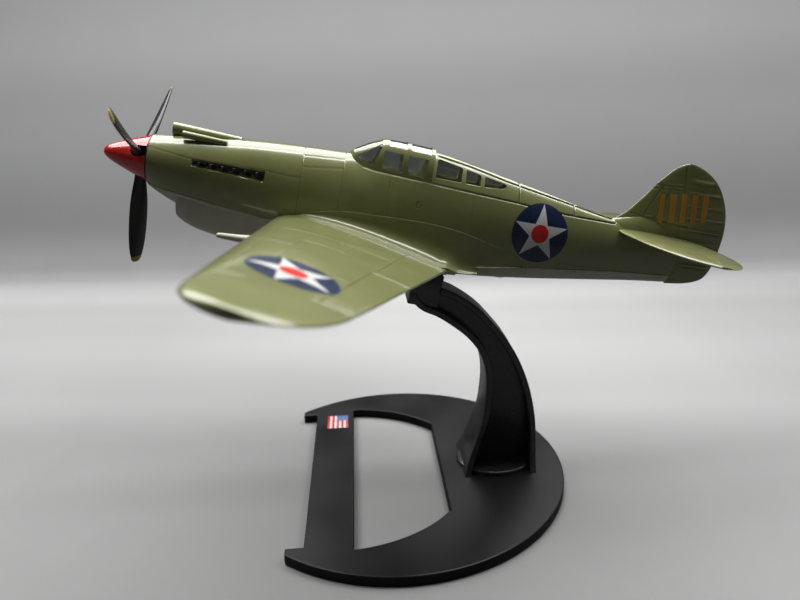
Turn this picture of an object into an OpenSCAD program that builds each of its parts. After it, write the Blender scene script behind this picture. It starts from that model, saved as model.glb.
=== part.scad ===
// Desk-top display model of a single-seat propeller fighter on a black arm stand.
// Millimetres. X runs aft (nose towards -X), Y to starboard, Z up.
// Origin: underside of the base, midway between the two screws that hold the arm foot.
// Aircraft parts are drawn level in a model frame with its origin at the spinner tip;
// plane() carries them to their place on the stand.

/* [View] */
// which piece to draw, or "all"

/* [Airframe] */
// nose-up angle at which the stand holds the model, degrees
nose_up = 12.9; // [12:0.1:14]
// wall of the hollow castings and mouldings, mm
wall = 1.3; // [1.1:0.1:1.5]
// half span of the wing, mm
half_span = 78.6; // [77:0.2:80]
// rise of each wing, degrees
dihedral = 4.2; // [3.5:0.1:5]
// half span of the tailplane, mm
tail_half_span = 27.2; // [26:0.2:28]

/* [Propeller] */
// propeller diameter, mm
prop_d = 46.4; // [44:0.2:48]
// angle of the first blade away from straight down, degrees
prop_turn = 5; // [-60:1:60]
// radius of the steel propeller shaft, mm
shaft_r = 0.75; // [0.6:0.05:0.9]
// running clearance of the shaft in its bush, on the radius, mm
shaft_play = 0.05; // [0.03:0.01:0.08]

/* [Stand] */
// radius of the base disc, mm
base_r = 39.5; // [38:0.5:42]
// thickness of the base, mm
base_t = 2.4; // [2:0.1:3]
// gap all round the stand tongue in its socket, mm
tongue_play = 0.06; // [0.04:0.01:0.1]

/* [Hidden] */
// every piece that can be drawn on its own
// spinner tip in the stand frame
tip_x = -81.4;
tip_z = 80.3;
// small gap left between neighbouring fixed pieces
gap = 0.04;
// half width of cutting solids that pass both fuselage sides
past = 9;
// port, starboard
SIDES = [-1, 1];
// front face of the cowling, just behind the spinner
nose_x = 9.75;
bush_r = 1.6;
// belly screws along the model, and foot screws either side of the origin
front_screw_x = 42;
rear_screw_x = 86;
foot_screw_x = 4.5;
screw_head_r = 1.85;
pilot_r = .82;
clear_r = 1;
head_bore_r = 1.95;
// stand tongue: middle along the model, then length and width of tongue and socket
tongue_x = 70.44;
tongue_size = [5.2, 3.6];
socket_size = [8, 6];
// flat under the fuselage where it rests on the wing
belly_flat_z = -9.24;
wheel_x = 52;
wheel_y = 14;
// colours
olive = [0.46, 0.48, 0.27];
grey = [0.62, 0.62, 0.58];
black = [0.05, 0.05, 0.055];
steel = [0.7, 0.7, 0.72];

// ---------- curves and lists ----------
function stations(from, to, count) = [for (i = [0:count]) from + (to - from)*i/count];
function slice(list, first, last) = [for (i = [first:last]) list[i]];
function rev(list) = [for (i = [len(list)-1:-1:0]) list[i]];
function lift(line, dz) = [for (p = line) [p[0], p[1] + dz]];
// row of the table that starts the span holding x
function span_at(table, x, i=0) =
  (i >= len(table)-2 || x < table[i+1][0]) ? i : span_at(table, x, i+1);
function slope(table, i, col) =
  let(a = table[max(i-1, 0)], b = table[min(i+1, len(table)-1)]) (b[col] - a[col])/(b[0] - a[0]);
// smooth value of a column at x; column 0 holds x, and x is held within the table
function curve(table, col, x) =
  let(held = min(max(x, table[0][0]), table[len(table)-1][0]),
      i = span_at(table, held),
      width = table[i+1][0] - table[i][0],
      t = (held - table[i][0])/width,
      rise0 = slope(table, i, col)*width,
      rise1 = slope(table, i+1, col)*width)
  (2*t*t*t - 3*t*t + 1)*table[i][col] + (t*t*t - 2*t*t + t)*rise0
  + (3*t*t - 2*t*t*t)*table[i+1][col] + (t*t*t - t*t)*rise1;
// sine or cosine reshaped for a superellipse; power 2 is round, higher is squarer
function squared(v, power) = sign(v)*pow(abs(v), 2/power);
function oval(x, y, z, ry, rz, points) =
  [for (j = [0:points-1]) let(a = 360*j/points) [x, y + ry*cos(a), z + rz*sin(a)]];

// ---------- shared solids ----------
// closed skin over a row of rings; flip turns the faces round
module skin(rings, flip=false) {
  n = len(rings);
  k = len(rings[0]);
  faces = concat(
    [[for (j = [0:k-1]) j]],
    [for (i = [0:n-2]) for (j = [0:k-1])
      let(a = i*k + j, b = i*k + (j+1)%k) each [[a, a+k, b], [b, a+k, b+k]]],
    [[for (j = [k-1:-1:0]) (n-1)*k + j]]);
  polyhedron(points=[for (r = rings) each r], faces=flip ? [for (f = faces) rev(f)] : faces,
    convexity=8);
}
// side-view outline [x,z] pushed through the model between y0 and y1
module slab(outline, y0=-past, y1=past) {
  translate([0, y1, 0]) rotate([90, 0, 0]) linear_extrude(y1 - y0) polygon(outline);
}
// lower Y of a solid lying near..far out from the middle on one side
function low_y(side, near, far) = side > 0 ? near : -far;
module side_slab(outline, side, near, far) {
  low = low_y(side, near, far);
  slab(outline, low, low + far - near);
}
module side_box(side, near, far, x, z, length, height) {
  translate([x, low_y(side, near, far), z]) cube([length, far - near, height]);
}
// box centred across the model
module mid_box(x, z, length, width, height) {
  translate([x, -width/2, z]) cube([length, width, height]);
}
// cylinders along Z and along X
module post(x, z, r, h, sides, y=0) {
  translate([x, y, z]) cylinder(r=r, h=h, $fn=sides);
}
module rod(x, r, h, sides, y=0, z=0) {
  translate([x, y, z]) rotate([0, 90, 0]) cylinder(r=r, h=h, $fn=sides);
}
// upright block centred on the stand tongue
module tongue_block(size, z, height, grow=0) {
  mid_box(tongue_x - size[0]/2 - grow, z, size[0] + 2*grow, size[1] + 2*grow, height);
}
// screw standing on its cross-slotted head
module screw(length) {
  difference() {
    union() {
      cylinder(r=.8, h=length, $fn=24);
      cylinder(r=screw_head_r, h=1, $fn=28);
    }
    mid_box(-1.2, -.1, 2.4, .4, .6);
    mid_box(-.2, -.1, .4, 2.4, .6);
  }
}
// model frame -> stand frame
module plane() {
  translate([tip_x, 0, tip_z]) rotate([0, nose_up, 0]) children();
}

// ---------- fuselage ----------
// x, half width, top, bottom, height of the widest point, squareness above, below
BODY = [
  [9.2,4.95,5,-5.1,0,2,2], [12,5.3,5.45,-6.7,-.3,2.05,2.05],
  [16,5.65,6,-8.4,-.6,2.1,2.1], [24,6.1,6.9,-10.6,-1.3,2.15,2.25],
  [30,6.35,7.55,-11.8,-1.8,2.15,2.35], [36,6.55,8,-12.9,-2.3,2.1,2.5],
  [42,6.7,8.35,-13.4,-2.7,2.05,2.65], [50,6.75,8.8,-13.5,-3,2,2.8],
  [56,6.75,10.2,-13.5,-3.1,1.92,2.8], [62,6.7,11.5,-13.5,-3.2,1.85,2.8],
  [67.3,6.5,12,-13.4,-3.2,1.8,2.7], [75.6,6.1,10.85,-13.15,-3.1,1.75,2.6],
  [84,5.5,9.4,-12.5,-2.9,1.75,2.4], [94.6,4.6,7.6,-11.2,-2.6,1.75,2.25],
  [102.3,3.85,6.15,-10.1,-2.3,1.78,2.15], [109.2,3.1,5.1,-9.1,-2,1.8,2.1],
  [116,2.35,4.5,-8.1,-1.8,1.9,2], [125.4,1.25,3.8,-6.95,-1.5,2,2]];
body_end = 125.4;
function body_ring(x, inset, points) =
  let(half = curve(BODY, 1, x) - inset, top = curve(BODY, 2, x) - inset,
      bottom = curve(BODY, 3, x) + inset, mid = curve(BODY, 4, x),
      above = curve(BODY, 5, x), below = curve(BODY, 6, x))
  [for (j = [0:points-1])
    let(a = 360*(j + .5)/points, s = sin(a), power = s > 0 ? above : below)
    [x, half*squared(cos(a), power), mid + (s > 0 ? top - mid : mid - bottom)*squared(s, power)]];
module body(x0, x1, inset, count, points) {
  skin([for (x = stations(x0, x1, count)) body_ring(x, inset, points)]);
}

// chin scoop below the cowling: x, half width, bottom
CHIN = [[15.9,4.1,-10.7], [17.4,4.5,-11.7], [20,4.8,-12.7], [24.4,5.2,-13.5],
  [30,5.7,-13.75], [36,6.2,-13.6], [40,6.5,-13.45]];
chin_mid_z = -6;
function chin_ring(x, inset) =
  let(half = curve(CHIN, 1, x) - inset, depth = chin_mid_z - curve(CHIN, 2, x) - inset)
  [for (j = [0:27]) let(a = 360*(j + .5)/28, s = sin(a))
    [x, half*squared(cos(a), 2.6), chin_mid_z + (s > 0 ? 1.5*s : depth*squared(s, 2.6))]];
module chin(x0, x1, inset=0, count=14) {
  skin([for (x = stations(x0, x1, count)) chin_ring(x, inset)]);
}

// lower edge of the fuselage casting, side view [x,z]
SEAM = [[9,-4.75], [17.5,-5.35], [29.4,-6.5], [34,-7.5], [37.5,-9.2], [76,-9.2], [80.2,-9.75],
  [84,-9.2], [91.2,-8.3], [97,-7.7], [103.4,-7], [110.7,-6.2], [117.7,-5.7], [125.4,-5.2]];
// side-view region a gap below a stretch of the seam
function below_seam(first, last) =
  let(line = slice(SEAM, first, last))
  concat([[SEAM[first][0], -30], [SEAM[last][0], -30]], rev(lift(line, -gap)));
// lower edge of the canopy, then of the rear deck, side view [x,z]
SILL = [[49.3,9.6], [49.6,8.7], [50.6,7.7], [52.4,6.75], [54.8,6.35], [66.9,5.85]];
DECK = [[66.9,5.85], [76,5.45], [86.4,4.95], [93,4.45], [100,4.2], [109.4,4.1]];

// fin and rudder: z, leading edge, trailing edge, half thickness
FIN = [
  [-7.4,114,124.5,.5], [-6.6,113,129.6,.6], [-5.3,112,132.9,.7], [-3.8,111,134.2,.75],
  [-1,110,135,.8], [4,108.6,135.3,.85], [7.5,111.8,135,.8], [11.2,114.5,133.9,.75],
  [14.4,116.6,132.1,.65], [16.6,118.3,130.2,.6], [18.4,120,127.6,.5], [19.4,121.6,125.2,.4],
  [19.7,122.4,124,.3]];
// tail surface section as [x, thickness offset]; taper thins the trailing edge
function tail_section(table, at, taper) =
  let(front = curve(table, 1, at), rear = curve(table, 2, at), thick = curve(table, 3, at))
  [for (j = [0:15]) let(a = 360*j/16, c = cos(a))
    [(front + rear)/2 - (rear - front)/2*c,
     thick*squared(sin(a), 2.2)*(1 - taper*(1 - c)/2)]];
module fin_shape() {
  skin([for (z = stations(-7.4, 19.7, 22)) [for (p = tail_section(FIN, z, .35)) [p[0], p[1], z]]],
    true);
}

intake_z = 6.75;
gun_y = 2.75;
gun_z = 5.95;
// carburettor intake on top of the cowling
module intake() {
  skin([for (i = [0:8]) let(u = i/8, r = 1.45 - .4*u)
    oval(13.4 + 13.6*u, 0, intake_z + .15*u, r, r*.95, 16)]);
}
module gun(side) {
  skin([for (i = [0:6]) let(u = i/6, r = .78 - .2*u)
    oval(15.9 + 8.8*u, side*gun_y, gun_z + .3*u, r, r, 12)]);
}

module fuselage_casting() color(olive) plane() difference() {
  union() {
    difference() {
      intersection() {
        body(nose_x, body_end, 0, 38, 34);
        slab(concat(SEAM, [[body_end, 40], [SEAM[0][0], 40]]));
      }
      body(11.6, 107, wall, 20, 20);
    }
    // nose wall around the shaft bush
    intersection() {
      body(nose_x + .05, 14, .3, 2, 32);
      mid_box(nose_x + .05, -4.7, 2.6, 2*past, 18);
    }
    // fin, clear of the rear belly
    difference() {
      fin_shape();
      slab([[105,-20], [125.04,-20], [125.04,-5.22], [117.7,-5.7], [110.7,-6.2], [105,-6.82]],
        -3, 3);
    }
    intake();
    for (side = SIDES) gun(side);
    // screw posts, the rear one on a bulkhead
    post(front_screw_x, -7.5, 1.7, 15.2, 24);
    intersection() {
      body(84, 88, .3, 2, 32);
      mid_box(rear_screw_x - 1, -8.3, 2, 2*past, 12.6);
    }
    intersection() {
      body(83, 89, .3, 2, 32);
      post(rear_screw_x, -8.4, 1.7, 12.6, 24);
    }
  }
  // cockpit opening and the space under the rear deck
  slab(concat(SILL, slice(DECK, 1, 5), [[109.4,12], [100,20], [49.3,20]]));
  // flats for the exhaust rows
  for (side = SIDES) side_box(side, 4.9, 6.9, 18.6, .35, 14.6, 1.75);
  rod(9, bush_r + .01, 4, 32);
  // slot that takes the tailplane tongues
  mid_box(114, 2.3, 8, 8, 1.3);
  for (x = [front_screw_x, rear_screw_x]) post(x, -9, pilot_r, 8, 20);
  // rudder hinge line
  for (side = SIDES)
    side_slab([[121.7,19.2], [122,19.2], [126.3,-6.4], [126,-6.4]], side, .62, 2);
  // intake and gun mouths
  rod(13, 1.05, 5, 24, z=intake_z);
  for (side = SIDES) rod(15.5, .48, 3, 16, y=side*gun_y, z=gun_z);
}

module chin_cowl() color(grey) plane() difference() {
  intersection() {
    union() {
      body(nose_x, 36, 0, 11, 36);
      chin(15.9, 36);
    }
    slab(below_seam(0, 3));
    mid_box(9.2, -20, 26.6, 2*past, 20);
  }
  body(nose_x + 1.2, 37, wall, 9, 24);
  chin(17.2, 37, .9);
  // scoop mouth
  chin(15.5, 19.1, .75, 3);
}

// grooved plate across the inside of the scoop
module radiator_insert() color(black) plane() intersection() {
  difference() {
    mid_box(23, -12.2, 1.6, 8, 5.6);
    for (y = [-3:1:3]) translate([22.9, y - .2, -11.8]) cube([.6, .4, 4.8]);
  }
  chin(20, 30, 1.1);
}

module rear_belly() color(grey) plane() difference() {
  intersection() {
    body(76.1, 125, 0, 17, 36);
    slab(below_seam(5, len(SEAM)-1));
  }
  // hollow, leaving a boss around the screw
  difference() {
    body(77.3, 106, wall, 10, 24);
    post(rear_screw_x, -16, 2.2, 7.6, 24);
  }
  post(rear_screw_x, -14, clear_r, 8, 24);
  post(rear_screw_x, -14, head_bore_r, 2.92, 24);
}

// ---------- rear deck and windows ----------
// outline of the quarter windows, side view, grown by g
function window(g) = [[68.1 - g, 7 - g], [78.2, 6.75 - g], [81.8 + g*.5, 7.1 - g],
  [83.4 + g, 8.1], [82.6 + g*.5, 8.75 + g*.8], [77.6, 10 + g], [68.7 - g, 11.5 + g]];
module rear_deck() color(olive) plane() difference() {
  intersection() {
    difference() {
      body(67, 109.4, 0, 15, 36);
      body(65, 107.5, wall*.8, 12, 24);
    }
    slab(concat(lift(DECK, .12), [[109.4,20], [67.1,20], [67.1,5.98]]));
  }
  // clearance for the front of the fin
  slab([[107.5,5.3], [112,5.3], [112,12], [109,12]], -1, 1);
  for (side = SIDES) side_slab(window(0), side, 1, past);
}
module rear_windows() color([.75, .85, .9, .45]) plane() intersection() {
  difference() {
    body(66.5, 85.5, .28, 9, 32);
    body(66, 86, .75, 9, 32);
  }
  union() for (side = SIDES) side_slab(window(-gap), side, 1.2, past);
}

// ---------- canopy and cockpit ----------
// x, half width at the sill, sill height, top height
CANOPY = [[49.5,.5,8.9,9.05], [50.2,2.3,8.1,9.75], [51.4,3.1,7.25,10.5], [53,3.75,6.6,11.4],
  [55,4.2,6.35,12.4], [56.6,4.45,6.3,12.95], [61,4.75,6.1,13], [66.9,4.95,5.9,12.75]];
canopy_end = 66.9;
above_sill = concat(lift(SILL, gap), [[canopy_end, 20], [49.2, 20]]);
function canopy_ring(x, inset) =
  let(half = max(curve(CANOPY, 1, x) - inset, .1), sill = curve(CANOPY, 2, x),
      top = max(curve(CANOPY, 3, x) - inset, sill + .05))
  concat(
    [for (j = [0:16]) let(a = 180*j/16)
      [x, half*squared(cos(a), 2.5), sill + (top - sill)*squared(sin(a), 2.5)]],
    [[x, -half, sill - .8], [x, half, sill - .8]]);
module hood(x0, x1, inset) {
  skin([for (x = stations(x0, x1, 16)) canopy_ring(x, inset)]);
}
module canopy_glass() color([.78, .88, .92, .4]) plane() intersection() {
  difference() {
    hood(49.6, canopy_end, .15);
    hood(49.2, 67.2, .6);
  }
  slab(above_sill);
}
// side-view outlines of the frame: two hoops, rear hoop, sill rail, upper rail
bar_half = .42;
FRAME = [
  [[54.2 - bar_half, 6], [54.2 + bar_half, 6], [56.9 + bar_half, 14], [56.9 - bar_half, 14]],
  [[61.1 - bar_half, 6], [61.1 + bar_half, 6], [61 + bar_half, 14], [61 - bar_half, 14]],
  [[65.2,5.5], [66.88,5.5], [66.88,14], [65.9,14]],
  [[49,8.4], [50.6,7.2], [52.4,6.3], [54.8,5.9], [66.9,5.4], [66.9,6.4], [54.8,6.9],
   [52.6,7.35], [51.1,8.3], [50.2,9.6], [49,9.8]],
  [[55.8,10.9], [66.9,10.95], [66.9,11.4], [55.8,11.4]]];
module canopy_frame() color(olive) plane() intersection() {
  difference() {
    hood(49.5, canopy_end, -.12);
    hood(49.2, 67.1, .07);
  }
  slab(above_sill);
  union() for (outline = FRAME) slab(outline, -6, 6);
}

tub_floor_z = -2.4;
module cockpit_tub() color([.2, .24, .16]) plane() difference() {
  mid_box(51.6, -3.2, 15, 7.4, 8.8);
  mid_box(52.4, tub_floor_z, 13.4, 6, 12);
  // lower rims at the front and sides
  mid_box(51, 5.2, 3, 8, 3);
  for (side = SIDES) side_box(side, 3.2, 4.2, 51, 4.4, 17, 3);
}
module pilot_seat() color([.16, .19, .13]) plane() difference() {
  union() {
    mid_box(60, tub_floor_z + gap, 4.4, 3.8, 2.2);
    translate([64, 0, -.6]) rotate([0, 8, 0]) mid_box(0, 0, .8, 3.8, 5.4);
    for (side = SIDES) side_box(side, 1.4, 1.9, 60.4, -.4, 3.9, 1.4);
  }
  mid_box(60.3, -1, 3.6, 2.8, 2);
}

// ---------- wing ----------
// leading edge at the root; fall of the chord plane and shift of the edge per mm
root_y = 6.7;
root_x = 36.3;
root_z = -7.1;
drop = 0.10;
sweep = -0.057;
drawn_half_span = 78.6;
// spanwise places of the wing rings, at the drawn half span
WING_Y = [4, 14, 26, 38, 50, 60, 66, 70.5, 73.5, 75.6, 77, 78, 78.55];
// chord plane of each half: flat, rising with span, falling aft
function chord_z(x, y) = root_z + tan(dihedral)*(y - root_y) - drop*(x - root_x);
// straight edges, before the tip is rounded
function straight_front(y) = root_x + sweep*(y - root_y);
function straight_rear(y) = 74.2 - .362*(y - root_y);
// line along the span that the rounded tip closes on
function tip_line(y) = straight_front(y) + .47*(straight_rear(y) - straight_front(y));
// share left near the rounded tip, falling from 1 at start
function tip_share(y, start, power) =
  pow(max(0, 1 - pow(max(0, (y - start)/(half_span - start)), power)), .5);
function front_x(y) =
  tip_line(y) - (tip_line(y) - straight_front(y))*max(tip_share(y, 70, 3.4), .04);
function rear_x(y) =
  tip_line(y) + (straight_rear(y) - tip_line(y))*max(tip_share(y, 62, 4.2), .04);
function wing_depth(y) =
  (2.95 - 1.6*(y - root_y)/72)*(.35 + .65*pow(tip_share(y, 58, 3), .6));
// aerofoil height, u along the chord 0..1
function foil(u) =
  ((1.48*sqrt(u) - .63*u - 1.76*u*u + 1.42*u*u*u - .51*u*u*u*u)*2 + .07*sqrt(u))/1.03;
// ring of the upper or lower skin at y, its flat face lowered by sink
function wing_ring(y, upper, side, sink) =
  let(front = front_x(y), rear = rear_x(y), depth = (upper ? 1 : -.72)*wing_depth(y))
  concat(
    [for (i = [0:14]) let(u = .5 - .5*cos(180*i/14), x = front + (rear - front)*u)
      [x, side*y, chord_z(x, y) + depth*foil(u) + (upper ? .05 : -.05)*u]],
    [[rear, side*y, chord_z(rear, y) - sink],
     [front - .001, side*y, chord_z(front, y) - sink]]);
module half_wing(side, upper, sink=0) {
  skin([for (y = WING_Y) wing_ring(y*half_span/drawn_half_span, upper, side, sink)],
    (side > 0) != upper);
}

// root fairing: x, height on the fuselage, then Y and height of its outer edge
FILLET = [[37.8,-6.25,6.95,-6.45], [40,-5.4,8,-6], [44,-3.9,9.4,-5.3], [50,-2.7,10.6,-5],
  [58,-2.3,11.4,-5.5], [66,-2.1,11.8,-7], [72,-2.4,10.8,-9.4], [76,-3,8.8,-10.9],
  [80.1,-3.9,7.3,-10.9]];
// its thin tail on the fuselage side behind the wing, same columns
FILLET_TAIL = [[80.3,-4.02,6.4,-9.5], [83,-4.55,6.05,-9.15], [87,-5.7,5.5,-8.65],
  [90.4,-7.7,5,-8.25], [91.9,-7.95,3.6,-8.3]];
fillet_power = 1.6;
// half width of the fuselage at x and height z
function body_y(x, z) =
  let(mid = curve(BODY, 4, x), up = z > mid,
      share = min(1, (z - mid)/(curve(BODY, up ? 2 : 3, x) - mid)),
      power = curve(BODY, up ? 5 : 6, x))
  curve(BODY, 1, x)*pow(1 - pow(share, power), 1/power);
// underside of the fairing: thin below its edge, or just above the chord plane if thin is 0
function fillet_low(x, y, edge_z, thin) =
  thin > 0 ? edge_z - thin : min(chord_z(x, y) + .12, edge_z - .15);
function fillet_ring(table, x, side, thin) =
  let(top = curve(table, 1, x), edge_y = curve(table, 2, x), edge_z = curve(table, 3, x),
      inner = min(body_y(x, top) + .22, edge_y), outer = max(edge_y, inner + .1),
      root = inner - 1.5, n = fillet_power)
  concat(
    [for (i = [0:8]) let(u = i/8)
      [x, side*(inner + (outer - inner)*(1 - pow(1 - pow(u, n), 1/n))),
       top + (edge_z - top)*pow(1 - pow(1 - u, n), 1/n)]],
    [[x, side*outer, fillet_low(x, outer, edge_z, thin)],
     [x, side*root, min(fillet_low(x, root, edge_z, thin), top - .7)],
     [x, side*root, top - .1]]);
module fillet(side) {
  skin(concat(
    [for (x = stations(37.8, 80.1, 20)) fillet_ring(FILLET, x, side, 0)],
    [for (x = stations(80.3, 91.9, 8)) fillet_ring(FILLET_TAIL, x, side, .13)]), side > 0);
}
// space taken by the fuselage above its belly flat
module saddle(x1, count, flat_length) {
  difference() {
    body(30, x1, -.07, count, 36);
    mid_box(30, -40, flat_length, 2*past, 40 + belly_flat_z);
  }
}

module wing_casting() color(olive) plane() difference() {
  union() {
    for (side = SIDES) {
      half_wing(side, true);
      fillet(side);
    }
    mid_box(38.5, -10.6, 36, 12, 1.3);
  }
  saddle(100, 20, 46);
  post(front_screw_x, -12, clear_r, 6, 24);
  // recess above the stand socket
  mid_box(65.6, -12, 9, 6, 2.2);
  // cut at each end of the ailerons: y, reach ahead of the trailing edge
  for (side = SIDES, cut = [[40, 5.6], [66, 5]])
    translate([straight_rear(cut[0]) - cut[1], side*cut[0], -4]) cube([7, .22, 10]);
}

// keel between the wings: x, half width, bottom
KEEL = [[36,6.3,-13.55], [40,7.2,-13.6], [46,8.1,-13.6], [60,8.5,-13.5], [68,8,-13.4],
  [76,5.4,-13.15]];
function keel_ring(x) =
  let(half = curve(KEEL, 1, x), bottom = curve(KEEL, 2, x),
      top = min(-9.6, -7.55 - drop*(x - root_x)))
  concat(
    [[x, half, top]],
    [for (j = [0:14]) let(a = 180*j/14)
      [x, half*squared(cos(a), 2.2), top - .1 + (bottom + .1 - top)*squared(sin(a), 2.2)]],
    [[x, -half, top]]);
// teardrop leg housing, nose ahead of the leading edge: x, radius, centre height
LEG = [[26.6,.22,-9.86], [26.9,.45,-9.86], [28,.58,-9.85], [31,.75,-9.82], [34,1.05,-9.75],
  [38,1.5,-9.7], [43,1.75,-9.85], [47,1.6,-9.95], [50,1.15,-9.95], [52,.6,-9.9]];
module leg_housing(side) {
  skin([for (i = [0:20]) let(x = 26.6 + 25.4*pow(i/20, 1.25), r = curve(LEG, 1, x))
    oval(x, side*15.2, curve(LEG, 2, x), r*1.05, r, 16)]);
}
module wing_underside() color(grey) plane() difference() {
  union() {
    for (side = SIDES) {
      half_wing(side, false, gap);
      leg_housing(side);
    }
    skin([for (x = stations(36, 76, 14)) keel_ring(x)], true);
  }
  saddle(84, 18, 60);
  mid_box(76.1, -20, 16, 2*past, 20);
  mid_box(35, -11.6, 30, 10.6, 2.4);
  post(front_screw_x, -16, clear_r, 8, 24);
  post(front_screw_x, -15, head_bore_r, 2.52, 24);
  tongue_block(socket_size, -16, 8, gap);
  // wheel wells
  for (side = SIDES) post(wheel_x, -16, 4.1, 5.2, 40, y=side*wheel_y);
  // room for the wing casting's centre slab
  mid_box(38.4, -10.64, 36.2, 12.1, 4);
  mid_box(30, belly_flat_z, 9, 2*past, 1);
}
module retracted_wheels() color(black) plane() for (side = SIDES)
  translate([wheel_x, side*wheel_y, -12.9]) rotate_extrude($fn=48)
    polygon([[0,0], [1.4,0], [1.6,.3], [2.1,.3], [2.4,-.15], [3.2,-.35], [3.8,0], [4,.5],
      [3.8,1], [3,1.3], [0,1.3]]);

// ---------- tailplane ----------
// y, leading edge, trailing edge, half thickness; drawn to y = 27
TAIL = [[1,110.2,129.4,.8], [6,110.2,130,.78], [10,110.7,130.2,.75], [14,111.5,130,.7],
  [18,112.9,129.4,.65], [21,114.4,128.3,.6], [24,116.5,126.6,.5], [26,118.5,124.6,.4],
  [27,120.4,122.8,.25]];
TAIL_Y = [1, 4, 7, 10, 13, 16, 18, 20, 22, 23.5, 25, 26, 26.6, 27];
function tail_ring(y, side) = [for (p = tail_section(TAIL, y, .4))
  [p[0], side*y*tail_half_span/27, 2.95 + .004*y + p[1]]];
module tailplane(side) {
  difference() {
    intersection() {
      skin([for (y = TAIL_Y) tail_ring(y, side)], side < 0);
      side_box(side, 1, 40, 100, -5, 40, 16);
    }
    // cut to the side of the fuselage and rudder
    body(105, body_end, -gap, 10, 40);
    side_box(side, -1, 1.15, 121.6, -6, 16, 16);
  }
  // tongue
  side_box(side, gap, 3.2, 114.1, 2.36, 7.8, 1.18);
}
module tailplane_left() color(olive) plane() tailplane(-1);
module tailplane_right() color(olive) plane() tailplane(1);

// ---------- exhausts ----------
// strip with six hollow stubs, each longer than the one ahead
module exhaust(side) {
  side_box(side, 4.94, 5.54, 18.7, .45, 14.4, 1.5);
  for (i = [0:5])
    translate([19.7 + 2.35*i, side*5.3, 1.2]) rotate([0, 0, side*55]) difference() {
      rod(0, .55, 1.15 + .09*i, 20);
      rod(.6, .36, 2, 16);
    }
}
module exhaust_left() color(black) plane() exhaust(-1);
module exhaust_right() color(black) plane() exhaust(1);

// ---------- stand socket and belly screws ----------
module stand_socket() color(black) plane() difference() {
  tongue_block(socket_size, -13.3, 3.4);
  tongue_block(tongue_size, -14, 3.6, tongue_play);
}
module belly_screws() color(steel) plane() {
  translate([front_screw_x, 0, -13.5]) screw(8);
  translate([rear_screw_x, 0, -12.1]) screw(7);
}

// ---------- propeller ----------
hub_x = 7.4;
drawn_prop_d = 46.4;
// radius, chord, half thickness, pitch angle
BLADE = [[2.6,2,.8,58], [4.5,2.35,.72,54], [7,3.2,.6,47], [10,4.1,.5,40], [14,4.6,.44,34],
  [18,4.5,.38,30], [20.5,3.95,.32,27], [22,3.05,.28,26], [22.9,1.9,.2,25], [23.2,1,.15,25]];
BLADE_R = [2.6, 4.5, 7, 9, 11.5, 14, 16.5, 18.5, 20.5, 21.6, 22.4, 22.9, 23.2];
function blade_ring(r) =
  let(half = curve(BLADE, 1, r)/2, thick = curve(BLADE, 2, r), pitch = curve(BLADE, 3, r))
  [for (j = [0:13]) let(a = 360*j/14, u = half*cos(a), v = thick*sin(a)*(1 - .3*cos(a)))
    [hub_x - u*sin(pitch) + v*cos(pitch), -u*cos(pitch) - v*sin(pitch),
     -r*prop_d/drawn_prop_d]];
module each_blade() {
  for (k = [0:2]) rotate([prop_turn + 120*k, 0, 0]) children();
}
module propeller_blades() color(black) plane() difference() {
  union() {
    each_blade() skin([for (r = BLADE_R) blade_ring(r)], true);
    rod(hub_x - 1.9, 2.85, 3.9, 48);
  }
  rod(hub_x - 3, shaft_r, 6, 32);
}
// outside of the spinner, then its hollow: radius, distance from the tip
SPINNER = [[0,0], [.35,.06], [.66,.2], [.97,.45], [1.3,.9], [1.66,1.5], [2.15,2.5],
  [2.63,3.6], [3.11,4.8], [3.57,6], [4.02,7.2], [4.45,8.3], [4.78,9.1], [4.92,9.4],
  [4.3,9.4], [3.85,7.8], [3,5.2], [0,5.2]];
module spinner() color([.75, .06, .05]) plane() difference() {
  rotate([0, 90, 0]) rotate_extrude($fn=72) polygon(SPINNER);
  // blade openings, open to the rear
  each_blade() {
    post(hub_x, -9, 1.3, 7, 32);
    mid_box(hub_x, -9, 3, 2.6, 7);
  }
}
module spinner_backplate() color(black) plane() difference() {
  rod(9.43, 4.85, .25, 64);
  rod(8, shaft_r, 3, 32);
}
module propeller_shaft() color(steel) plane() rod(5.4, shaft_r - .004, 9.6, 32);
module shaft_bush() color([.75, .6, .3]) plane() difference() {
  rod(nose_x, bush_r, 3.25, 40);
  rod(9, shaft_r + shaft_play, 5, 32);
}
module shaft_collar() color(steel) plane() difference() {
  rod(13.1, 1.5, 1.3, 32);
  rod(13, shaft_r, 2, 32);
}

// ---------- stand ----------
module base_plate() color(black) difference() {
  linear_extrude(base_t) difference() {
    translate([-23.9, 0]) circle(r=base_r, $fn=128);
    // straight front edge, set back between two short horns
    translate([-90, -50]) square([90 - 48.8, 100]);
    translate([-60, -28.6]) square([15, 57.2]);
    // opening behind the front bar
    intersection() {
      translate([-37, 0]) circle(r=30.4, $fn=96);
      translate([-34.8, -40]) square([21.1, 80]);
    }
  }
  for (x = foot_screw_x*SIDES) {
    post(x, -1, 1.15, 5, 24);
    post(x, -.1, 2.1, 1.3, 28);
  }
}
// rear and front edges of the arm, side view [x,z]
ARM_REAR = [[8.4,base_t], [8.7,8], [8.5,15.2], [7.2,22.6], [4.9,29.3], [2,34.7], [-1.2,39],
  [-4.6,42.8], [-9.4,46.4], [-12.7,48]];
ARM_FRONT = [[-8.7,base_t], [-7.6,5.2], [-5.4,11], [-3.9,16], [-3.2,21], [-3,25], [-3.4,29],
  [-4.7,32.6], [-7.2,36], [-10.6,39], [-14,41.4], [-17.2,43], [-18.9,44.6], [-19.8,46.6]];
// half width of the arm flanges: y, z
ARM_HALF = [[6.4,base_t], [5.6,8], [4.6,18], [4.1,30], [3.8,50]];
flange_t = 1.5;
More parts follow.
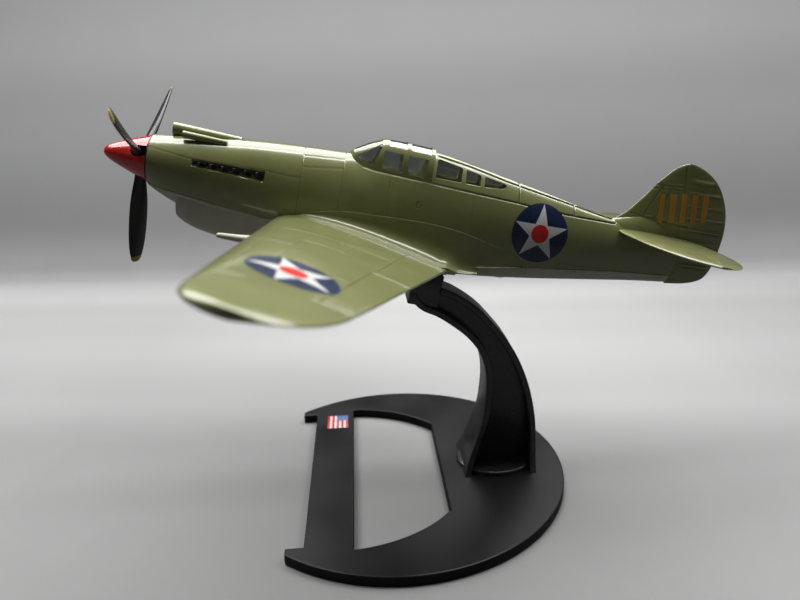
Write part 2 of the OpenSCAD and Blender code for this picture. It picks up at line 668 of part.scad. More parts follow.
// edge line moved d along its own normal
function offset_line(line, d) = [for (i = [0:len(line)-1])
  let(step = line[min(i+1, len(line)-1)] - line[max(i-1, 0)])
  line[i] + d*[-step[1], step[0]]/norm(step)];
module stand_arm() color(black) difference() {
  union() {
    // web
    slab(concat(ARM_REAR, rev(ARM_FRONT)), -1.3, 1.3);
    // flanges along both edges, narrowing upwards
    intersection() {
      union() {
        slab(concat(ARM_REAR, rev(offset_line(ARM_REAR, flange_t))));
        slab(concat(ARM_FRONT, rev(offset_line(ARM_FRONT, -flange_t))));
      }
      rotate([90, 0, 90]) translate([0, 0, -40]) linear_extrude(80)
        polygon(concat(ARM_HALF, rev([for (p = ARM_HALF) [-p[0], p[1]]])));
    }
    // foot pad and screw posts
    translate([0, 0, base_t]) linear_extrude(1.1)
      polygon([for (i = [0:47]) [9.3*cos(7.5*i) - .2, 8.2*sin(7.5*i)]]);
    for (x = foot_screw_x*SIDES) post(x, base_t, 2, 7, 28);
    // head block and the tongue that enters the belly
    plane() {
      mid_box(67.2, -21, 6.9, 7, 7.4);
      tongue_block(tongue_size, -15, 4.3);
    }
  }
  for (x = foot_screw_x*SIDES) post(x, 1, pilot_r, 7.5, 20);
}
module base_screws() color(steel) for (x = foot_screw_x*SIDES) translate([x, 0, .15]) screw(8);
module flag_label() color([.9, .9, .9]) translate([-41.9, 20.1, base_t + .02]) cube([5.6, 7, .12]);

fuselage_casting();
wing_casting();
wing_underside();
chin_cowl();
radiator_insert();
rear_belly();
rear_deck();
rear_windows();
canopy_glass();
canopy_frame();
cockpit_tub();
pilot_seat();
tailplane_left();
tailplane_right();
exhaust_left();
exhaust_right();
retracted_wheels();
stand_socket();
belly_screws();
propeller_blades();
spinner();
spinner_backplate();
propeller_shaft();
shaft_bush();
shaft_collar();
base_plate();
stand_arm();
base_screws();
flag_label();
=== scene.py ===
import bpy
import bmesh
import math
import numpy as np
from mathutils import Matrix, Vector


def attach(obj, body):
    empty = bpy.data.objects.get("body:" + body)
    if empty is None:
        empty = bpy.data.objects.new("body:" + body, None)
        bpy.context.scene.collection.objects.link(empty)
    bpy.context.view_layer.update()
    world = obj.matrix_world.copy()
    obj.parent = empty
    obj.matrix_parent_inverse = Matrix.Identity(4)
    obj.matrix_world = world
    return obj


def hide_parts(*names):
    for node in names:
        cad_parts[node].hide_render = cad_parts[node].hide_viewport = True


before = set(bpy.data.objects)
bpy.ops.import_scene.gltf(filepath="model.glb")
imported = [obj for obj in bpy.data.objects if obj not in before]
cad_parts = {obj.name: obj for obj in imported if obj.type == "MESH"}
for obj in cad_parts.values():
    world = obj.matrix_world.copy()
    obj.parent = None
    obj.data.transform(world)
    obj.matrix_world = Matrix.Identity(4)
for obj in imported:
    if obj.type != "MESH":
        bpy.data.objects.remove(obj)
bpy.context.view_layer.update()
MM = 0.001
NOSE_UP = math.radians(12.9)
AIRCRAFT = Matrix.Translation((-81.4*MM, 0, 80.3*MM)) @ Matrix.Rotation(NOSE_UP, 4, "Y")
STAND = Matrix.Identity(4)
SIDES = ((-1, "left"), (1, "right"))


# ---------------------------------------------------------------- curves
def curve(table, column, x):
    """Cubic through one column, with slopes taken from the neighbouring points."""
    table = np.asarray(table, float)
    xs, ys = table[:, 0], table[:, column]
    x = np.clip(np.asarray(x, float), xs[0], xs[-1])
    ends = np.diff(ys)/np.diff(xs)
    slope = np.r_[ends[0], (ys[2:]-ys[:-2])/(xs[2:]-xs[:-2]), ends[-1]]
    i = np.clip(np.searchsorted(xs, x, side="right")-1, 0, len(xs)-2)
    h = xs[i+1]-xs[i]
    t = (x-xs[i])/h
    return ((2*t**3-3*t**2+1)*ys[i]+(t**3-2*t**2+t)*slope[i]*h
            + (3*t**2-2*t**3)*ys[i+1]+(t**3-t**2)*slope[i+1]*h)


def curves(table, x):
    """Every column of the table at x."""
    return [curve(table, column, x) for column in range(1, len(table[0]))]


def straight(table, x):
    table = np.asarray(table, float)
    return np.interp(x, table[:, 0], table[:, 1])


def superpow(value, n):
    """Turns a sine or cosine into that of a superellipse; n=2 is an ellipse."""
    return np.sign(value)*np.abs(value)**(2.0/n)


def circle(count):
    return np.linspace(0, 2*np.pi, count, endpoint=False)


def points(x, y, z):
    return np.stack(np.broadcast_arrays(x, y, z), -1)


def gauss(distance, width):
    return np.exp(-(distance/width)**2)


def stations(start, end, step, marks=(), reach=.32, fine=.05):
    """Even steps, with fine steps around each mark."""
    xs = list(np.arange(start, end, step))+[end]
    for mark in marks:
        xs += [v for v in mark+np.arange(-reach, reach+1e-9, fine) if start < v < end]
    xs = np.unique(np.round(xs, 4))
    kept = [xs[0]]
    for x in xs[1:]:
        if x-kept[-1] > 0.02:
            kept.append(x)
    kept[-1] = xs[-1]
    return np.array(kept)


def run_lengths(path):
    return np.r_[0, np.cumsum(np.linalg.norm(np.diff(path, axis=0), axis=1))]


def resample(path, count):
    run = run_lengths(path)
    if run[-1] < 1e-9:
        return np.repeat(path[:1], count, 0)
    t = np.linspace(0, run[-1], count)
    return np.stack([np.interp(t, run, column) for column in path.T], 1)


def run_table(path):
    path = np.asarray(path, float)
    return np.column_stack([run_lengths(path), path])


def spline(path, count):
    table = run_table(path)
    return np.stack(curves(table, np.linspace(0, table[-1, 0], count)), 1)


def segment_distance(pts, a, b):
    a = np.asarray(a, float)
    ab = np.asarray(b, float)-a
    t = np.clip(((pts-a)@ab)/(ab@ab), 0, 1)
    return np.linalg.norm(pts-(a+t[:, None]*ab), axis=1)


def line_distance(pts, line):
    return np.min([segment_distance(pts, a, b) for a, b in zip(line, line[1:])], axis=0)


# ---------------------------------------------------------------- meshes
def tidy(mesh, sharp=34, weld=None):
    """Smooth shading with sharp edges above an angle in degrees."""
    bm = bmesh.new()
    bm.from_mesh(mesh)
    if weld:
        bmesh.ops.remove_doubles(bm, verts=bm.verts, dist=weld*MM)
    bmesh.ops.dissolve_degenerate(bm, edges=bm.edges, dist=1e-7)
    bmesh.ops.recalc_face_normals(bm, faces=bm.faces)
    limit = math.radians(sharp)
    for face in bm.faces:
        face.smooth = True
    for edge in bm.edges:
        if len(edge.link_faces) != 2 or edge.calc_face_angle(0) > limit:
            edge.smooth = False
    bm.to_mesh(mesh)
    bm.free()
    mesh.update()


def link(name, data):
    obj = bpy.data.objects.new(name, data)
    bpy.context.scene.collection.objects.link(obj)
    return obj


def make(name, verts, faces, mats, slot, body="airframe", place=AIRCRAFT, sharp=34,
         replaces=None, weld=None, face_mats=None, groove=None):
    """Object from points in mm. groove, 0 to 1 per point, darkens the paint as painted shade in
    grooves, seams and hollows.
    """
    mesh = bpy.data.meshes.new(name)
    mesh.from_pydata(np.asarray(verts, float)*MM, [], faces)
    if face_mats is not None:
        mesh.polygons.foreach_set("material_index", np.asarray(face_mats, np.int32))
    if groove is not None:
        layer = mesh.attributes.new("groove", "FLOAT", "POINT")
        layer.data.foreach_set("value", np.asarray(groove, np.float32))
    tidy(mesh, sharp, weld)
    obj = link(name, mesh)
    for material in mats:
        mesh.materials.append(material)
    obj.matrix_world = place
    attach(obj, body)
    if replaces:
        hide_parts(replaces)
    return obj


def quads(n, k, closed=False, base=0, flip=False):
    """Faces of a grid of n rows by k points; closed joins each row into a ring."""
    i = np.arange(n-1)[:, None]
    j = np.arange(k if closed else k-1)[None, :]
    a, b = base+i*k+j, base+i*k+(j+1) % k
    c, d = b+k, a+k
    grid = np.stack([a, d, c, b] if flip else [a, b, c, d], -1).reshape(-1, 4)
    return [tuple(row) for row in grid.tolist()]


def loft_faces(n, k, base=0):
    last = base+(n-1)*k
    caps = [tuple(range(base, base+k)), tuple(range(last+k-1, last-1, -1))]
    return quads(n, k, True, base)+caps


def loft(name, rings, **kw):
    """Closed skin over rings, capped at both ends."""
    rings = np.asarray(rings, float)
    return make(name, rings.reshape(-1, 3), loft_faces(*rings.shape[:2]), **kw)


def slab_faces(n, k, base=0):
    """Faces of two matching n by k sheets, joined round their edge."""
    far = n*k
    edges = [(c+i*k, c+(i+1)*k) for i in range(n-1) for c in (0, k-1)]
    edges += [(r*k+j, r*k+j+1) for j in range(k-1) for r in (0, n-1)]
    return (quads(n, k, False, base)+quads(n, k, False, base+far, True)
            + [(base+a, base+b, base+far+b, base+far+a) for a, b in edges])


def cut(obj, cutters, sharp=34):
    """Subtracts each cutter in turn, then tidies the result."""
    for cutter in cutters:
        boolean = obj.modifiers.new("cut", "BOOLEAN")
        boolean.operation = "DIFFERENCE"
        boolean.solver = "EXACT"
        boolean.object = cutter
        bpy.context.view_layer.update()
        graph = bpy.context.evaluated_depsgraph_get()
        mesh = bpy.data.meshes.new_from_object(obj.evaluated_get(graph))
        obj.modifiers.remove(boolean)
        old, obj.data = obj.data, mesh
        bpy.data.meshes.remove(old)
        bpy.data.objects.remove(cutter)
    tidy(obj.data, sharp)


def prism(outline, y0, y1, corner=0.0):
    """Cutter in the aircraft's frame: a side-view outline pushed along y."""
    outline = np.asarray(outline, float)
    if corner > 0:
        rounded = []
        for a, b, c in zip(np.roll(outline, 1, 0), outline, np.roll(outline, -1, 0)):
            ab, cb = np.linalg.norm(a-b), np.linalg.norm(c-b)
            r = min(corner, .45*ab, .45*cb)
            start, end = b+(a-b)/ab*r, b+(c-b)/cb*r
            rounded += [(1-t)**2*start+2*t*(1-t)*b+t*t*end for t in np.linspace(0, 1, 5)]
        outline = np.array(rounded)
    k = len(outline)
    verts = [(x, y, z) for y in (y0, y1) for x, z in outline]
    faces = [tuple(range(k)), tuple(range(2*k-1, k-1, -1))]
    faces += [(i, i+k, (i+1) % k+k, (i+1) % k) for i in range(k)]
    mesh = bpy.data.meshes.new("cutter")
    mesh.from_pydata([(np.array(v)*MM).tolist() for v in verts], [], faces)
    bm = bmesh.new()
    bm.from_mesh(mesh)
    bmesh.ops.recalc_face_normals(bm, faces=bm.faces)
    bm.to_mesh(mesh)
    bm.free()
    obj = link("cutter", mesh)
    obj.matrix_world = AIRCRAFT
    return obj


# ---------------------------------------------------------------- materials
class Graph:
    """Short ways to add nodes. Any input may be a number, a colour or a socket."""

    def __init__(self, tree):
        self.tree = tree

    def feed(self, node, inputs):
        for key, value in inputs.items():
            if isinstance(value, bpy.types.NodeSocket):
                self.tree.links.new(value, node.inputs[key])
            else:
                colour = isinstance(value, tuple)
                node.inputs[key].default_value = (*value, 1) if colour else value

    def node(self, kind, inputs=None, **settings):
        node = self.tree.nodes.new("ShaderNode"+kind)
        for key, value in settings.items():
            setattr(node, key, value)
        self.feed(node, inputs or {})
        return node

    def noise(self, vector, scale, detail=3, rough=.5):
        inputs = {"Scale": scale, "Detail": detail, "Roughness": rough, "Vector": vector}
        return self.node("TexNoise", inputs).outputs["Fac"]

    def remap(self, value, source, target):
        """Maps the source range linearly onto the target range."""
        return self.node("MapRange", {
            "Value": value, "From Min": source[0], "From Max": source[1],
            "To Min": target[0], "To Max": target[1]}).outputs[0]

    def mix(self, factor, a, b):
        return self.node("Mix", {0: factor, 6: a, 7: b}, data_type="RGBA").outputs[2]

    def math(self, operation, a, b):
        return self.node("Math", {0: a, 1: b}, operation=operation).outputs[0]

    def bump(self, height, strength):
        inputs = {"Strength": strength, "Distance": .00002, "Height": height}
        return self.node("Bump", inputs).outputs[0]


def new_material(name):
    material = bpy.data.materials.new(name)
    material.use_nodes = True
    graph = Graph(material.node_tree)
    graph.tree.nodes.clear()
    output = graph.node("OutputMaterial")
    shader = graph.node("BsdfPrincipled")
    graph.feed(output, {0: shader.outputs[0]})
    return material, graph, shader, output


def shade(color, gain, lift=0):
    return tuple(min(1, v*gain+lift) for v in color)


def surface(name, color, rough=.35, spread=.08, vary=.10, grain=.4, grain_scale=5200,
            edge_wear_and_highlight=.25, edge_wear_and_highlight_color=None, coat=0., coat_rough=.12, spec=.5, metal=0.,
            dust=0., patch=180):
    """Opaque finish: mottled by vary, roughness rough +- spread, edges lightened by
    edge_wear_and_highlight, partly wear and partly a painted highlight.
    """
    material, g, shader, _ = new_material(name)
    co = g.node("TexCoord").outputs["Object"]
    big = g.noise(co, scale=patch, detail=4, rough=.55)
    mid = g.noise(co, scale=900)
    fine = g.noise(co, scale=grain_scale, detail=2)
    c = g.mix(g.remap(big, (.3, .7), (0, 1)), shade(color, 1-vary), shade(color, 1+vary, .004))
    c = g.mix(g.remap(mid, (.35, .75), (0, .22)), c, shade(color, .82))
    # edges: wear and a painted highlight, lighter where they are sharpest
    pointiness = g.node("NewGeometry").outputs["Pointiness"]
    edge = g.remap(pointiness, (.52, .62), (0, edge_wear_and_highlight))
    edge = g.math("MULTIPLY", edge, g.remap(mid, (.35, .6), (.3, 1)))
    c = g.mix(edge, c, edge_wear_and_highlight_color or shade(color, 1.7, .03))
    # painted shade in grooves, seams and hollows, from the groove attribute
    groove = g.node("Attribute", attribute_name="groove").outputs["Fac"]
    c = g.mix(g.math("MULTIPLY", groove, .45), c, shade(color, .28))
    if dust:
        specks = g.noise(co, scale=2600, detail=4, rough=.7)
        c = g.mix(g.remap(specks, (.66, .74), (0, dust)), c, (.42, .42, .42))
    gloss = g.math("ADD", g.math("MULTIPLY", big, .6), g.math("MULTIPLY", fine, .4))
    height = g.math("ADD", g.math("MULTIPLY", fine, .6), g.math("MULTIPLY", mid, .5))
    g.feed(shader, {
        "Base Color": c, "Metallic": metal, "Specular IOR Level": spec,
        "Roughness": g.remap(gloss, (.3, .7), (rough-spread, rough+spread)),
        "Coat Weight": coat, "Coat Roughness": coat_rough,
        "Normal": g.bump(height, strength=grain)})
    return material


def glass_material(name, tint):
    material, g, shader, output = new_material(name)
    haze = g.noise(g.node("TexCoord").outputs["Object"], scale=500)
    g.feed(shader, {
        "Roughness": g.remap(haze, (.3, .7), (.04, .10)),
        "Base Color": g.mix(g.remap(haze, (.3, .7), (0, .3)), tint, shade(tint, .9)),
        "IOR": 1.42, "Coat Weight": .6, "Coat Roughness": .05, "Coat IOR": 1.9,
        "Transmission Weight": 1.0, "Normal": g.bump(haze, strength=.15)})
    # light passes straight through for shadows
    clear = g.node("BsdfTransparent", {0: shade(tint, .98)})
    shadow = g.node("LightPath").outputs["Is Shadow Ray"]
    both = g.node("MixShader", {0: shadow, 1: shader.outputs[0], 2: clear.outputs[0]})
    g.feed(output, {0: both.outputs[0]})
    return material


olive = surface("olive_paint", (0.205, 0.216, 0.080), rough=.32, spread=.05, vary=.07,
                grain=.3, coat=1.0, coat_rough=.11, edge_wear_and_highlight=.4)
grey = surface("grey_plastic", (0.52, 0.495, 0.395), rough=.30, vary=.05, grain=.25,
               coat=.15, edge_wear_and_highlight=.3)
black = surface("black_plastic", (0.013, 0.013, 0.014), rough=.42, vary=.25, grain=.45,
                grain_scale=7000, edge_wear_and_highlight_color=(.05, .05, .052), dust=.05)
stand_black = surface("stand_plastic", (0.0068, 0.0068, 0.0070), rough=.38, spread=.09,
                      vary=.3, grain=.5, grain_scale=6500, edge_wear_and_highlight=.3,
                      edge_wear_and_highlight_color=(.045, .045, .047), dust=.05, patch=60, spec=.28)
arm_black = surface("stand_arm_plastic", (0.030, 0.030, 0.0305), rough=.27, spread=.06,
                    vary=.2, grain=.3, grain_scale=6500, edge_wear_and_highlight_color=(.06, .06, .06),
                    dust=.05, patch=60, coat=.7, coat_rough=.2)
prop_black = surface("propeller_plastic", (0.013, 0.014, 0.013), rough=.33, spread=.06,
                     vary=.2, grain=.3, edge_wear_and_highlight=.3, edge_wear_and_highlight_color=(.06, .06, .05))
yellow = surface("tip_paint", (0.34, 0.28, 0.06), rough=.4, vary=.12, edge_wear_and_highlight=.2,
                 edge_wear_and_highlight_color=(.1, .09, .05))
red = surface("spinner_paint", (0.50, 0.012, 0.010), rough=.2, spread=.05, grain=.25,
              coat=.55, coat_rough=.08, edge_wear_and_highlight=.2, edge_wear_and_highlight_color=(.7, .1, .08))
navy = surface("insignia_navy", (0.010, 0.020, 0.065), rough=.3, vary=.15, grain=.25, coat=.2)
white = surface("insignia_white", (0.66, 0.67, 0.66), rough=.3, vary=.04, grain=.25, coat=.2)
disc_red = surface("insignia_red", (0.60, 0.020, 0.018), rough=.3, vary=.08, grain=.25,
                   coat=.2)
bar_orange = surface("serial_orange", (0.50, 0.235, 0.035), vary=.2, grain=.35, edge_wear_and_highlight=.2)
steel = surface("screw_steel", (0.50, 0.50, 0.52), rough=.3, vary=.12, grain=.3, metal=1.0)
brass = surface("bush_brass", (0.62, 0.44, 0.16), rough=.28, vary=.12, grain=.3, metal=1.0)
tub = surface("cockpit_green", (0.055, 0.068, 0.032), rough=.55, vary=.15)
label_white = surface("label_white", (0.62, 0.62, 0.62), rough=.3, vary=.03, grain=.1)
label_red = surface("label_red", (0.55, 0.03, 0.03), rough=.3, vary=.06, grain=.1)
label_blue = surface("label_blue", (0.10, 0.14, 0.33), rough=.3, vary=.08, grain=.1)
tyre = surface("tyre_rubber", (0.018, 0.018, 0.018), rough=.6, vary=.2, grain=.6)
glass = glass_material("clear_plastic", tint=(.95, .97, .96))
# darker copy of the clear plastic for the rear windows: painted shade
glass_dark = glass_material("clear_plastic_shaded", tint=(.80, .82, .77))

PAINTED = dict(mats=[olive], slot="upper_paint")
UPPER = dict(mats=[olive], slot="upper_plastic")
UNDER = dict(mats=[grey], slot="under_plastic")
ARM = dict(mats=[arm_black], slot="stand_plastic", body="stand")

# ---------------------------------------------------------------- fuselage
# x, half width, top z, bottom z, z of the widest line, superellipse power above, below
BODY = [
    [9.2,4.95,5,-5.1,0,2,2], [12,5.3,5.45,-6.7,-.3,2.05,2.05], [16,5.65,6,-8.4,-.6,2.1,2.1],
    [24,6.1,6.9,-10.6,-1.3,2.15,2.25], [30,6.35,7.55,-11.8,-1.8,2.15,2.35],
    [36,6.55,8,-12.9,-2.3,2.1,2.5], [42,6.7,8.35,-13.4,-2.7,2.05,2.65],
    [50,6.75,8.8,-13.5,-3,2,2.8], [56,6.75,10.2,-13.5,-3.1,1.92,2.8],
    [62,6.7,11.5,-13.5,-3.2,1.85,2.8], [67.3,6.5,12,-13.4,-3.2,1.8,2.7],
    [75.6,6.1,10.85,-13.15,-3.1,1.75,2.6], [84,5.5,9.4,-12.5,-2.9,1.75,2.4],
    [94.6,4.6,7.6,-11.2,-2.6,1.75,2.25], [102.3,3.85,6.15,-10.1,-2.3,1.78,2.15],
    [109.2,3.1,5.1,-9.1,-2,1.8,2.1], [116,2.35,4.5,-8.1,-1.8,1.9,2],
    [125.4,1.25,3.8,-6.95,-1.5,2,2]]
# x, z of the joints: upper casting to belly, canopy sill, casting to rear deck
SEAM = [[9,-4.75], [17.5,-5.35], [29.4,-6.5], [34,-7.5], [37.5,-9.2], [76,-9.2], [80.2,-9.75],
        [84,-9.2], [91.2,-8.3], [97,-7.7], [103.4,-7], [110.7,-6.2], [117.7,-5.7],
        [125.4,-5.2], [127,-5.1]]
SILL = [[49.3,9.6], [49.6,8.7], [50.6,7.7], [52.4,6.75], [54.8,6.35], [66.9,5.85]]
DECK = [[66.9,5.85], [76,5.45], [86.4,4.95], [93,4.45], [100,4.2], [109.4,4.1]]
SILL_START, (DECK_END, DECK_END_Z) = SILL[0][0], DECK[-1]
NOSE_END, TAIL_END = 9.75, 125.4


def body_columns(x, inset):
    width, top, bottom, mid, upper, lower = curves(BODY, x)
    return width-inset, top-inset, bottom+inset, mid, upper, lower


def body_section(x, angle, inset=0.0):
    width, top, bottom, mid, upper, lower = body_columns(x, inset)
    c, s = np.cos(angle), np.sin(angle)
    n = np.where(s >= 0, upper, lower)
    return width*superpow(c, n), mid+np.where(s >= 0, top-mid, mid-bottom)*superpow(s, n)


def body_angle(x, z, inset=0.0):
    _, top, bottom, mid, upper, lower = body_columns(x, inset)
    above = np.clip((z-mid)/(top-mid), 0, 1)
    below = np.clip((mid-z)/(mid-bottom), 0, 1)
    return np.where(z >= mid, np.arcsin(above**(upper/2)), -np.arcsin(below**(lower/2)))


def body_y(x, z):
    return body_section(x, body_angle(x, z))[0]


def body_arc(x, z0, z1, count, inset=0.0):
    """Evenly spaced points up the starboard section at x, from z0 to z1."""
    a, b = float(body_angle(x, z0, inset)), float(body_angle(x, z1, inset))
    angle = a+(b-a)*(.5-.5*np.cos(np.linspace(0, np.pi, 240)))
    return resample(points(x, *body_section(x, angle, inset)), count)


def casting_top(x):
    top = float(curve(BODY, 2, x))
    if x < SILL_START:
        return top
    if x < DECK_END:
        return min(top, float(straight(SILL+DECK[1:], x)))
    return min(top, DECK_END_Z+(x-DECK_END)*2.2)


def below_seam(x):
    return float(straight(SEAM, x))-.05


def grid_normals(grid):
    n = np.cross(np.gradient(grid, axis=0), np.gradient(grid, axis=1))
    length = np.linalg.norm(n, axis=2, keepdims=True)
    length[length < 1e-12] = 1
    return n/length


def shell(name, xs, low, high, m, wall, carve, round_low=.0, round_high=.0,
          inner_range=None, **kw):
    """Two mirrored halves of a hollow skin between two height lines of the body.

    carve gives the groove depth and shade at each outer point.
    """
    n, inner_m = len(xs), 8
    outer, inner = np.zeros((n, m, 3)), np.zeros((n, inner_m, 3))
    open_top, open_bottom = np.zeros(n, bool), np.zeros(n, bool)
    for i, x in enumerate(xs):
        width, top, bottom = (float(v) for v in curves(BODY, x)[:3])
        z0, z1 = max(low(x), bottom), high(x)
        open_top[i] = z1 < top-1e-4
        open_bottom[i] = z0 > bottom+1e-4
        z1 = max(z1, z0+.05)
        outer[i] = body_arc(x, z0, z1, m)
        d = min(wall, .42*width)
        xi = x if inner_range is None else min(max(x, inner_range[0]), inner_range[1])
        inner[i] = body_arc(xi, max(z0, bottom+d), min(z1, top-d), inner_m, d)
    normal = grid_normals(outer)
    if normal[n//2, m//2, 1] < 0:
        normal = -normal
    depth, groove = carve(outer.reshape(-1, 3))
    outer -= normal*depth.reshape(n, m)[..., None]
    groove = groove.reshape(n, m)
    # soft edges along the seams, with painted shade along them
    for radius, edge, is_open in ((round_low, 0, open_bottom), (round_high, -1, open_top)):
        if radius:
            distance = np.linalg.norm(outer-outer[:, [edge]], axis=2)
            drop = np.clip(1-distance/radius, 0, 1)**2*radius*.55*is_open[:, None]
            outer -= normal*drop[..., None]
            edge_shade = np.clip(1-distance/(radius*.8), 0, 1)*is_open[:, None]
            groove = np.maximum(groove, edge_shade)
    verts, faces, grooves = [], [], []
    for side in (1, -1):
        mirror = np.array([1, side, 1])
        a = len(verts)
        b = a+n*m
        verts += (outer*mirror).reshape(-1, 3).tolist()
        verts += (inner*mirror).reshape(-1, 3).tolist()
        grooves += groove.ravel().tolist()+[0.0]*(n*inner_m)
        faces += quads(n, m, False, a, side < 0)+quads(n, inner_m, False, b, side > 0)
        for i in range(n-1):
            for is_open, j, k in ((open_bottom, 0, 0), (open_top, m-1, inner_m-1)):
                if is_open[i] or is_open[i+1]:
                    faces.append((a+i*m+j, a+(i+1)*m+j, b+(i+1)*inner_m+k, b+i*inner_m+k))
        for i in (0, n-1):
            rim = [a+i*m+j for j in range(m)]
            faces.append(tuple(rim+[b+i*inner_m+j for j in range(inner_m)][::-1]))
    return make(name, verts, faces, groove=grooves, weld=.0008, **kw)


# panel lines in side view (x, z), and upright ones as x, lowest z, highest z
SIDE_LINES = [[(9.2,3.0), (18.6,2.15), (33.4,2.55), (40.2,2.35)], [(40.3,4.55), (48.6,5.65)],
              [(40.2,6.75), (48.6,7.35)], [(76.5,4.9), (76.5,-2.4)],
              [(97.2,-6.1), (107.7,-6.05), (124.6,-4.75)]]
UPRIGHT_LINES = [(40.3,-5.2,9), (48.7,-3.6,9), (58.5,-2.2,9)]
FAR = 9.    # distance that leaves no groove


def carve_casting(pts):
    x, _, z = pts.T
    distances = [line_distance(pts[:, [0, 2]], line) for line in SIDE_LINES]
    distances += [np.where((z > z0) & (z < z1), np.abs(x-at), FAR)
                  for at, z0, z1 in UPRIGHT_LINES]
    line = gauss(np.min(distances, axis=0), .085)
    # small round cap on each side: a ring groove with a dimple
    r = np.hypot(x-65.1, z-1.3)
    depth = .07*line*(r > .9)+.16*gauss(r-.58, .13)+.16*gauss(r, .2)
    groove = np.maximum(.7*line, gauss(r-.58, .15))
    # exhaust recess
    top = np.interp(x, [18.6, 33.3], [2.0, 2.3])
    bottom = np.interp(x, [18.6, 33.3], [.95, .42])
    inside = np.minimum.reduce([x-18.7, 33.2-x, top-z, z-bottom])
    k = np.clip(inside/.12+.5, 0, 1)
    return depth*(1-k)+.55*k, groove*(1-k)


def carve_belly(pts):
    along = line_distance(pts[:, [0, 1]], [(91.5, 2.2), (124, .9)])
    g = gauss(np.minimum(np.abs(pts[:, 0]-91.5), along), .1)
    return .07*g, g


def carve_chin(pts):
    g = gauss(np.abs(pts[:, 0]-27.5), .1)
    return .06*g, g


shell("fuselage_casting_skin",
      stations(NOSE_END, TAIL_END, .42,
               [40.3, 48.7, 58.5, 76.5, 49.6, 18.7, 33.2, 64.5, 65.1, 65.7], reach=.33),
      lambda x: float(straight(SEAM, x)), casting_top, 96, 1.25, carve_casting,
      round_low=.28, round_high=.22, inner_range=(11, 124), replaces="fuselage_casting",
      **PAINTED)
shell("rear_belly_skin", stations(76.1, 125, .5, [91.5], reach=.3, fine=.06),
      lambda x: -99., below_seam, 60, 1.2, carve_belly, round_high=.25,
      replaces="rear_belly", **UNDER)
shell("chin_cowl_skin", stations(NOSE_END, 35.9, .4), lambda x: -99., below_seam, 60, 1.1,
      carve_chin, round_high=.25, inner_range=(10.9, 36), replaces="chin_cowl", **UNDER)

# x, half width, bottom z
SCOOP = [[15.9,4.1,-10.7], [17.4,4.5,-11.7], [20,4.8,-12.7], [24.4,5.2,-13.5],
         [30,5.7,-13.75], [36,6.2,-13.6], [40,6.5,-13.45]]
SCOOP_START, SCOOP_MID_Z = 15.9, -6
# the scoop's mouth, from its back wall out to the lip: distance aft, inset
SCOOP_LIP = [(6.5,.8), (3,.75), (.6,.7), (.12,.62), (0,.48), (0,.3), (.08,.12), (.25,.03)]


def scoop_ring(x, inset=0):
    width, bottom = curves(SCOOP, x)
    angle = circle(72)
    c, s = np.cos(angle), np.sin(angle)
    lower = (SCOOP_MID_Z-bottom-inset)*superpow(np.abs(s), 2.6)
    z = SCOOP_MID_Z+np.where(s > 0, (1.5-inset)*np.abs(s), -lower)
    return points(x, (width-inset)*superpow(c, 2.6), z)


loft("chin_scoop", [scoop_ring(SCOOP_START+aft, inset) for aft, inset in SCOOP_LIP]
     + [scoop_ring(x) for x in stations(16.4, 36, .6)], **UNDER)

# ---------------------------------------------------------------- rear deck and windows
DECK_GROOVE = [(67.8,11.45), (74.8,10.5), (83.76,8.8), (93.91,7.2), (108.5,5.0)]
DECK_RINGS = [86.4, 99.5]
REAR_PANES = [[(67.55,7.15), (73.35,7.0), (73.3,10.0), (67.75,10.95)],
              [(74.15,7.0), (77.55,6.95), (77.5,9.15), (74.1,9.85)],
              [(78.35,6.95), (82.5,7.2), (83.4,7.85), (83.0,8.3), (78.3,9.1)]]


def carve_deck(pts):
    x, y, _ = pts.T
    along = line_distance(pts[:, [0, 2]], DECK_GROOVE)*1.25
    rings = np.min([np.abs(x-at) for at in DECK_RINGS], axis=0)
    g = gauss(np.minimum(np.where(np.abs(y) > .4, along, FAR), np.where(x < 85, FAR, rings)), .17)
    return .26*g, g


deck = shell("rear_deck_skin", stations(67.0, 109.3, .42, DECK_RINGS, reach=.3, fine=.06),
             lambda x: float(straight(DECK, x))+.16, lambda x: 99., 96, .7, carve_deck,
             round_low=.3, replaces="rear_deck", **UPPER)
cut(deck, (prism(pane, -12, 12, corner=.45) for pane in REAR_PANES))

for side, label in SIDES:
    sheets = [body_arc(x, 6.5, 11.35-(x-67.4)*.175, 22, inset)
              for inset in (.35, .35+.5) for x in np.linspace(67.3, 84.0, 40)]
    make("rear_window_"+label, np.concatenate(sheets)*[1, side, 1], slab_faces(40, 22),
         mats=[glass_dark], slot="clear_plastic", replaces="rear_windows")

# ---------------------------------------------------------------- canopy
# x, half width, base z, top z
CANOPY = [[49.5,.5,8.9,9.05], [50.2,2.3,8.1,9.75], [51.4,3.1,7.25,10.5], [53,3.75,6.6,11.4],
          [55,4.2,6.35,12.3], [56.6,4.45,6.3,12.8], [61,4.75,6.1,12.9], [66.9,4.95,5.9,12.7]]
SIDE_PANES = [
    [(51.0,8.75), (55.6,11.85), (55.9,11.6), (54.35,7.3), (52.9,7.45), (51.4,8.0)],
    [(56.3,10.75), (60.3,10.65), (60.45,6.85), (56.25,6.95)],
    [(61.4,10.6), (65.75,10.5), (65.2,6.7), (61.75,6.8)]]
TOP_PANES = [[(57.2,11.75), (60.95,11.6), (60.95,14), (57.2,14)],
             [(61.85,11.6), (66.15,11.4), (66.15,14), (61.85,14)]]
WINDSCREEN = [(50.6,9.4), (55.75,12.1), (55.6,13.6), (49.8,10.7)]


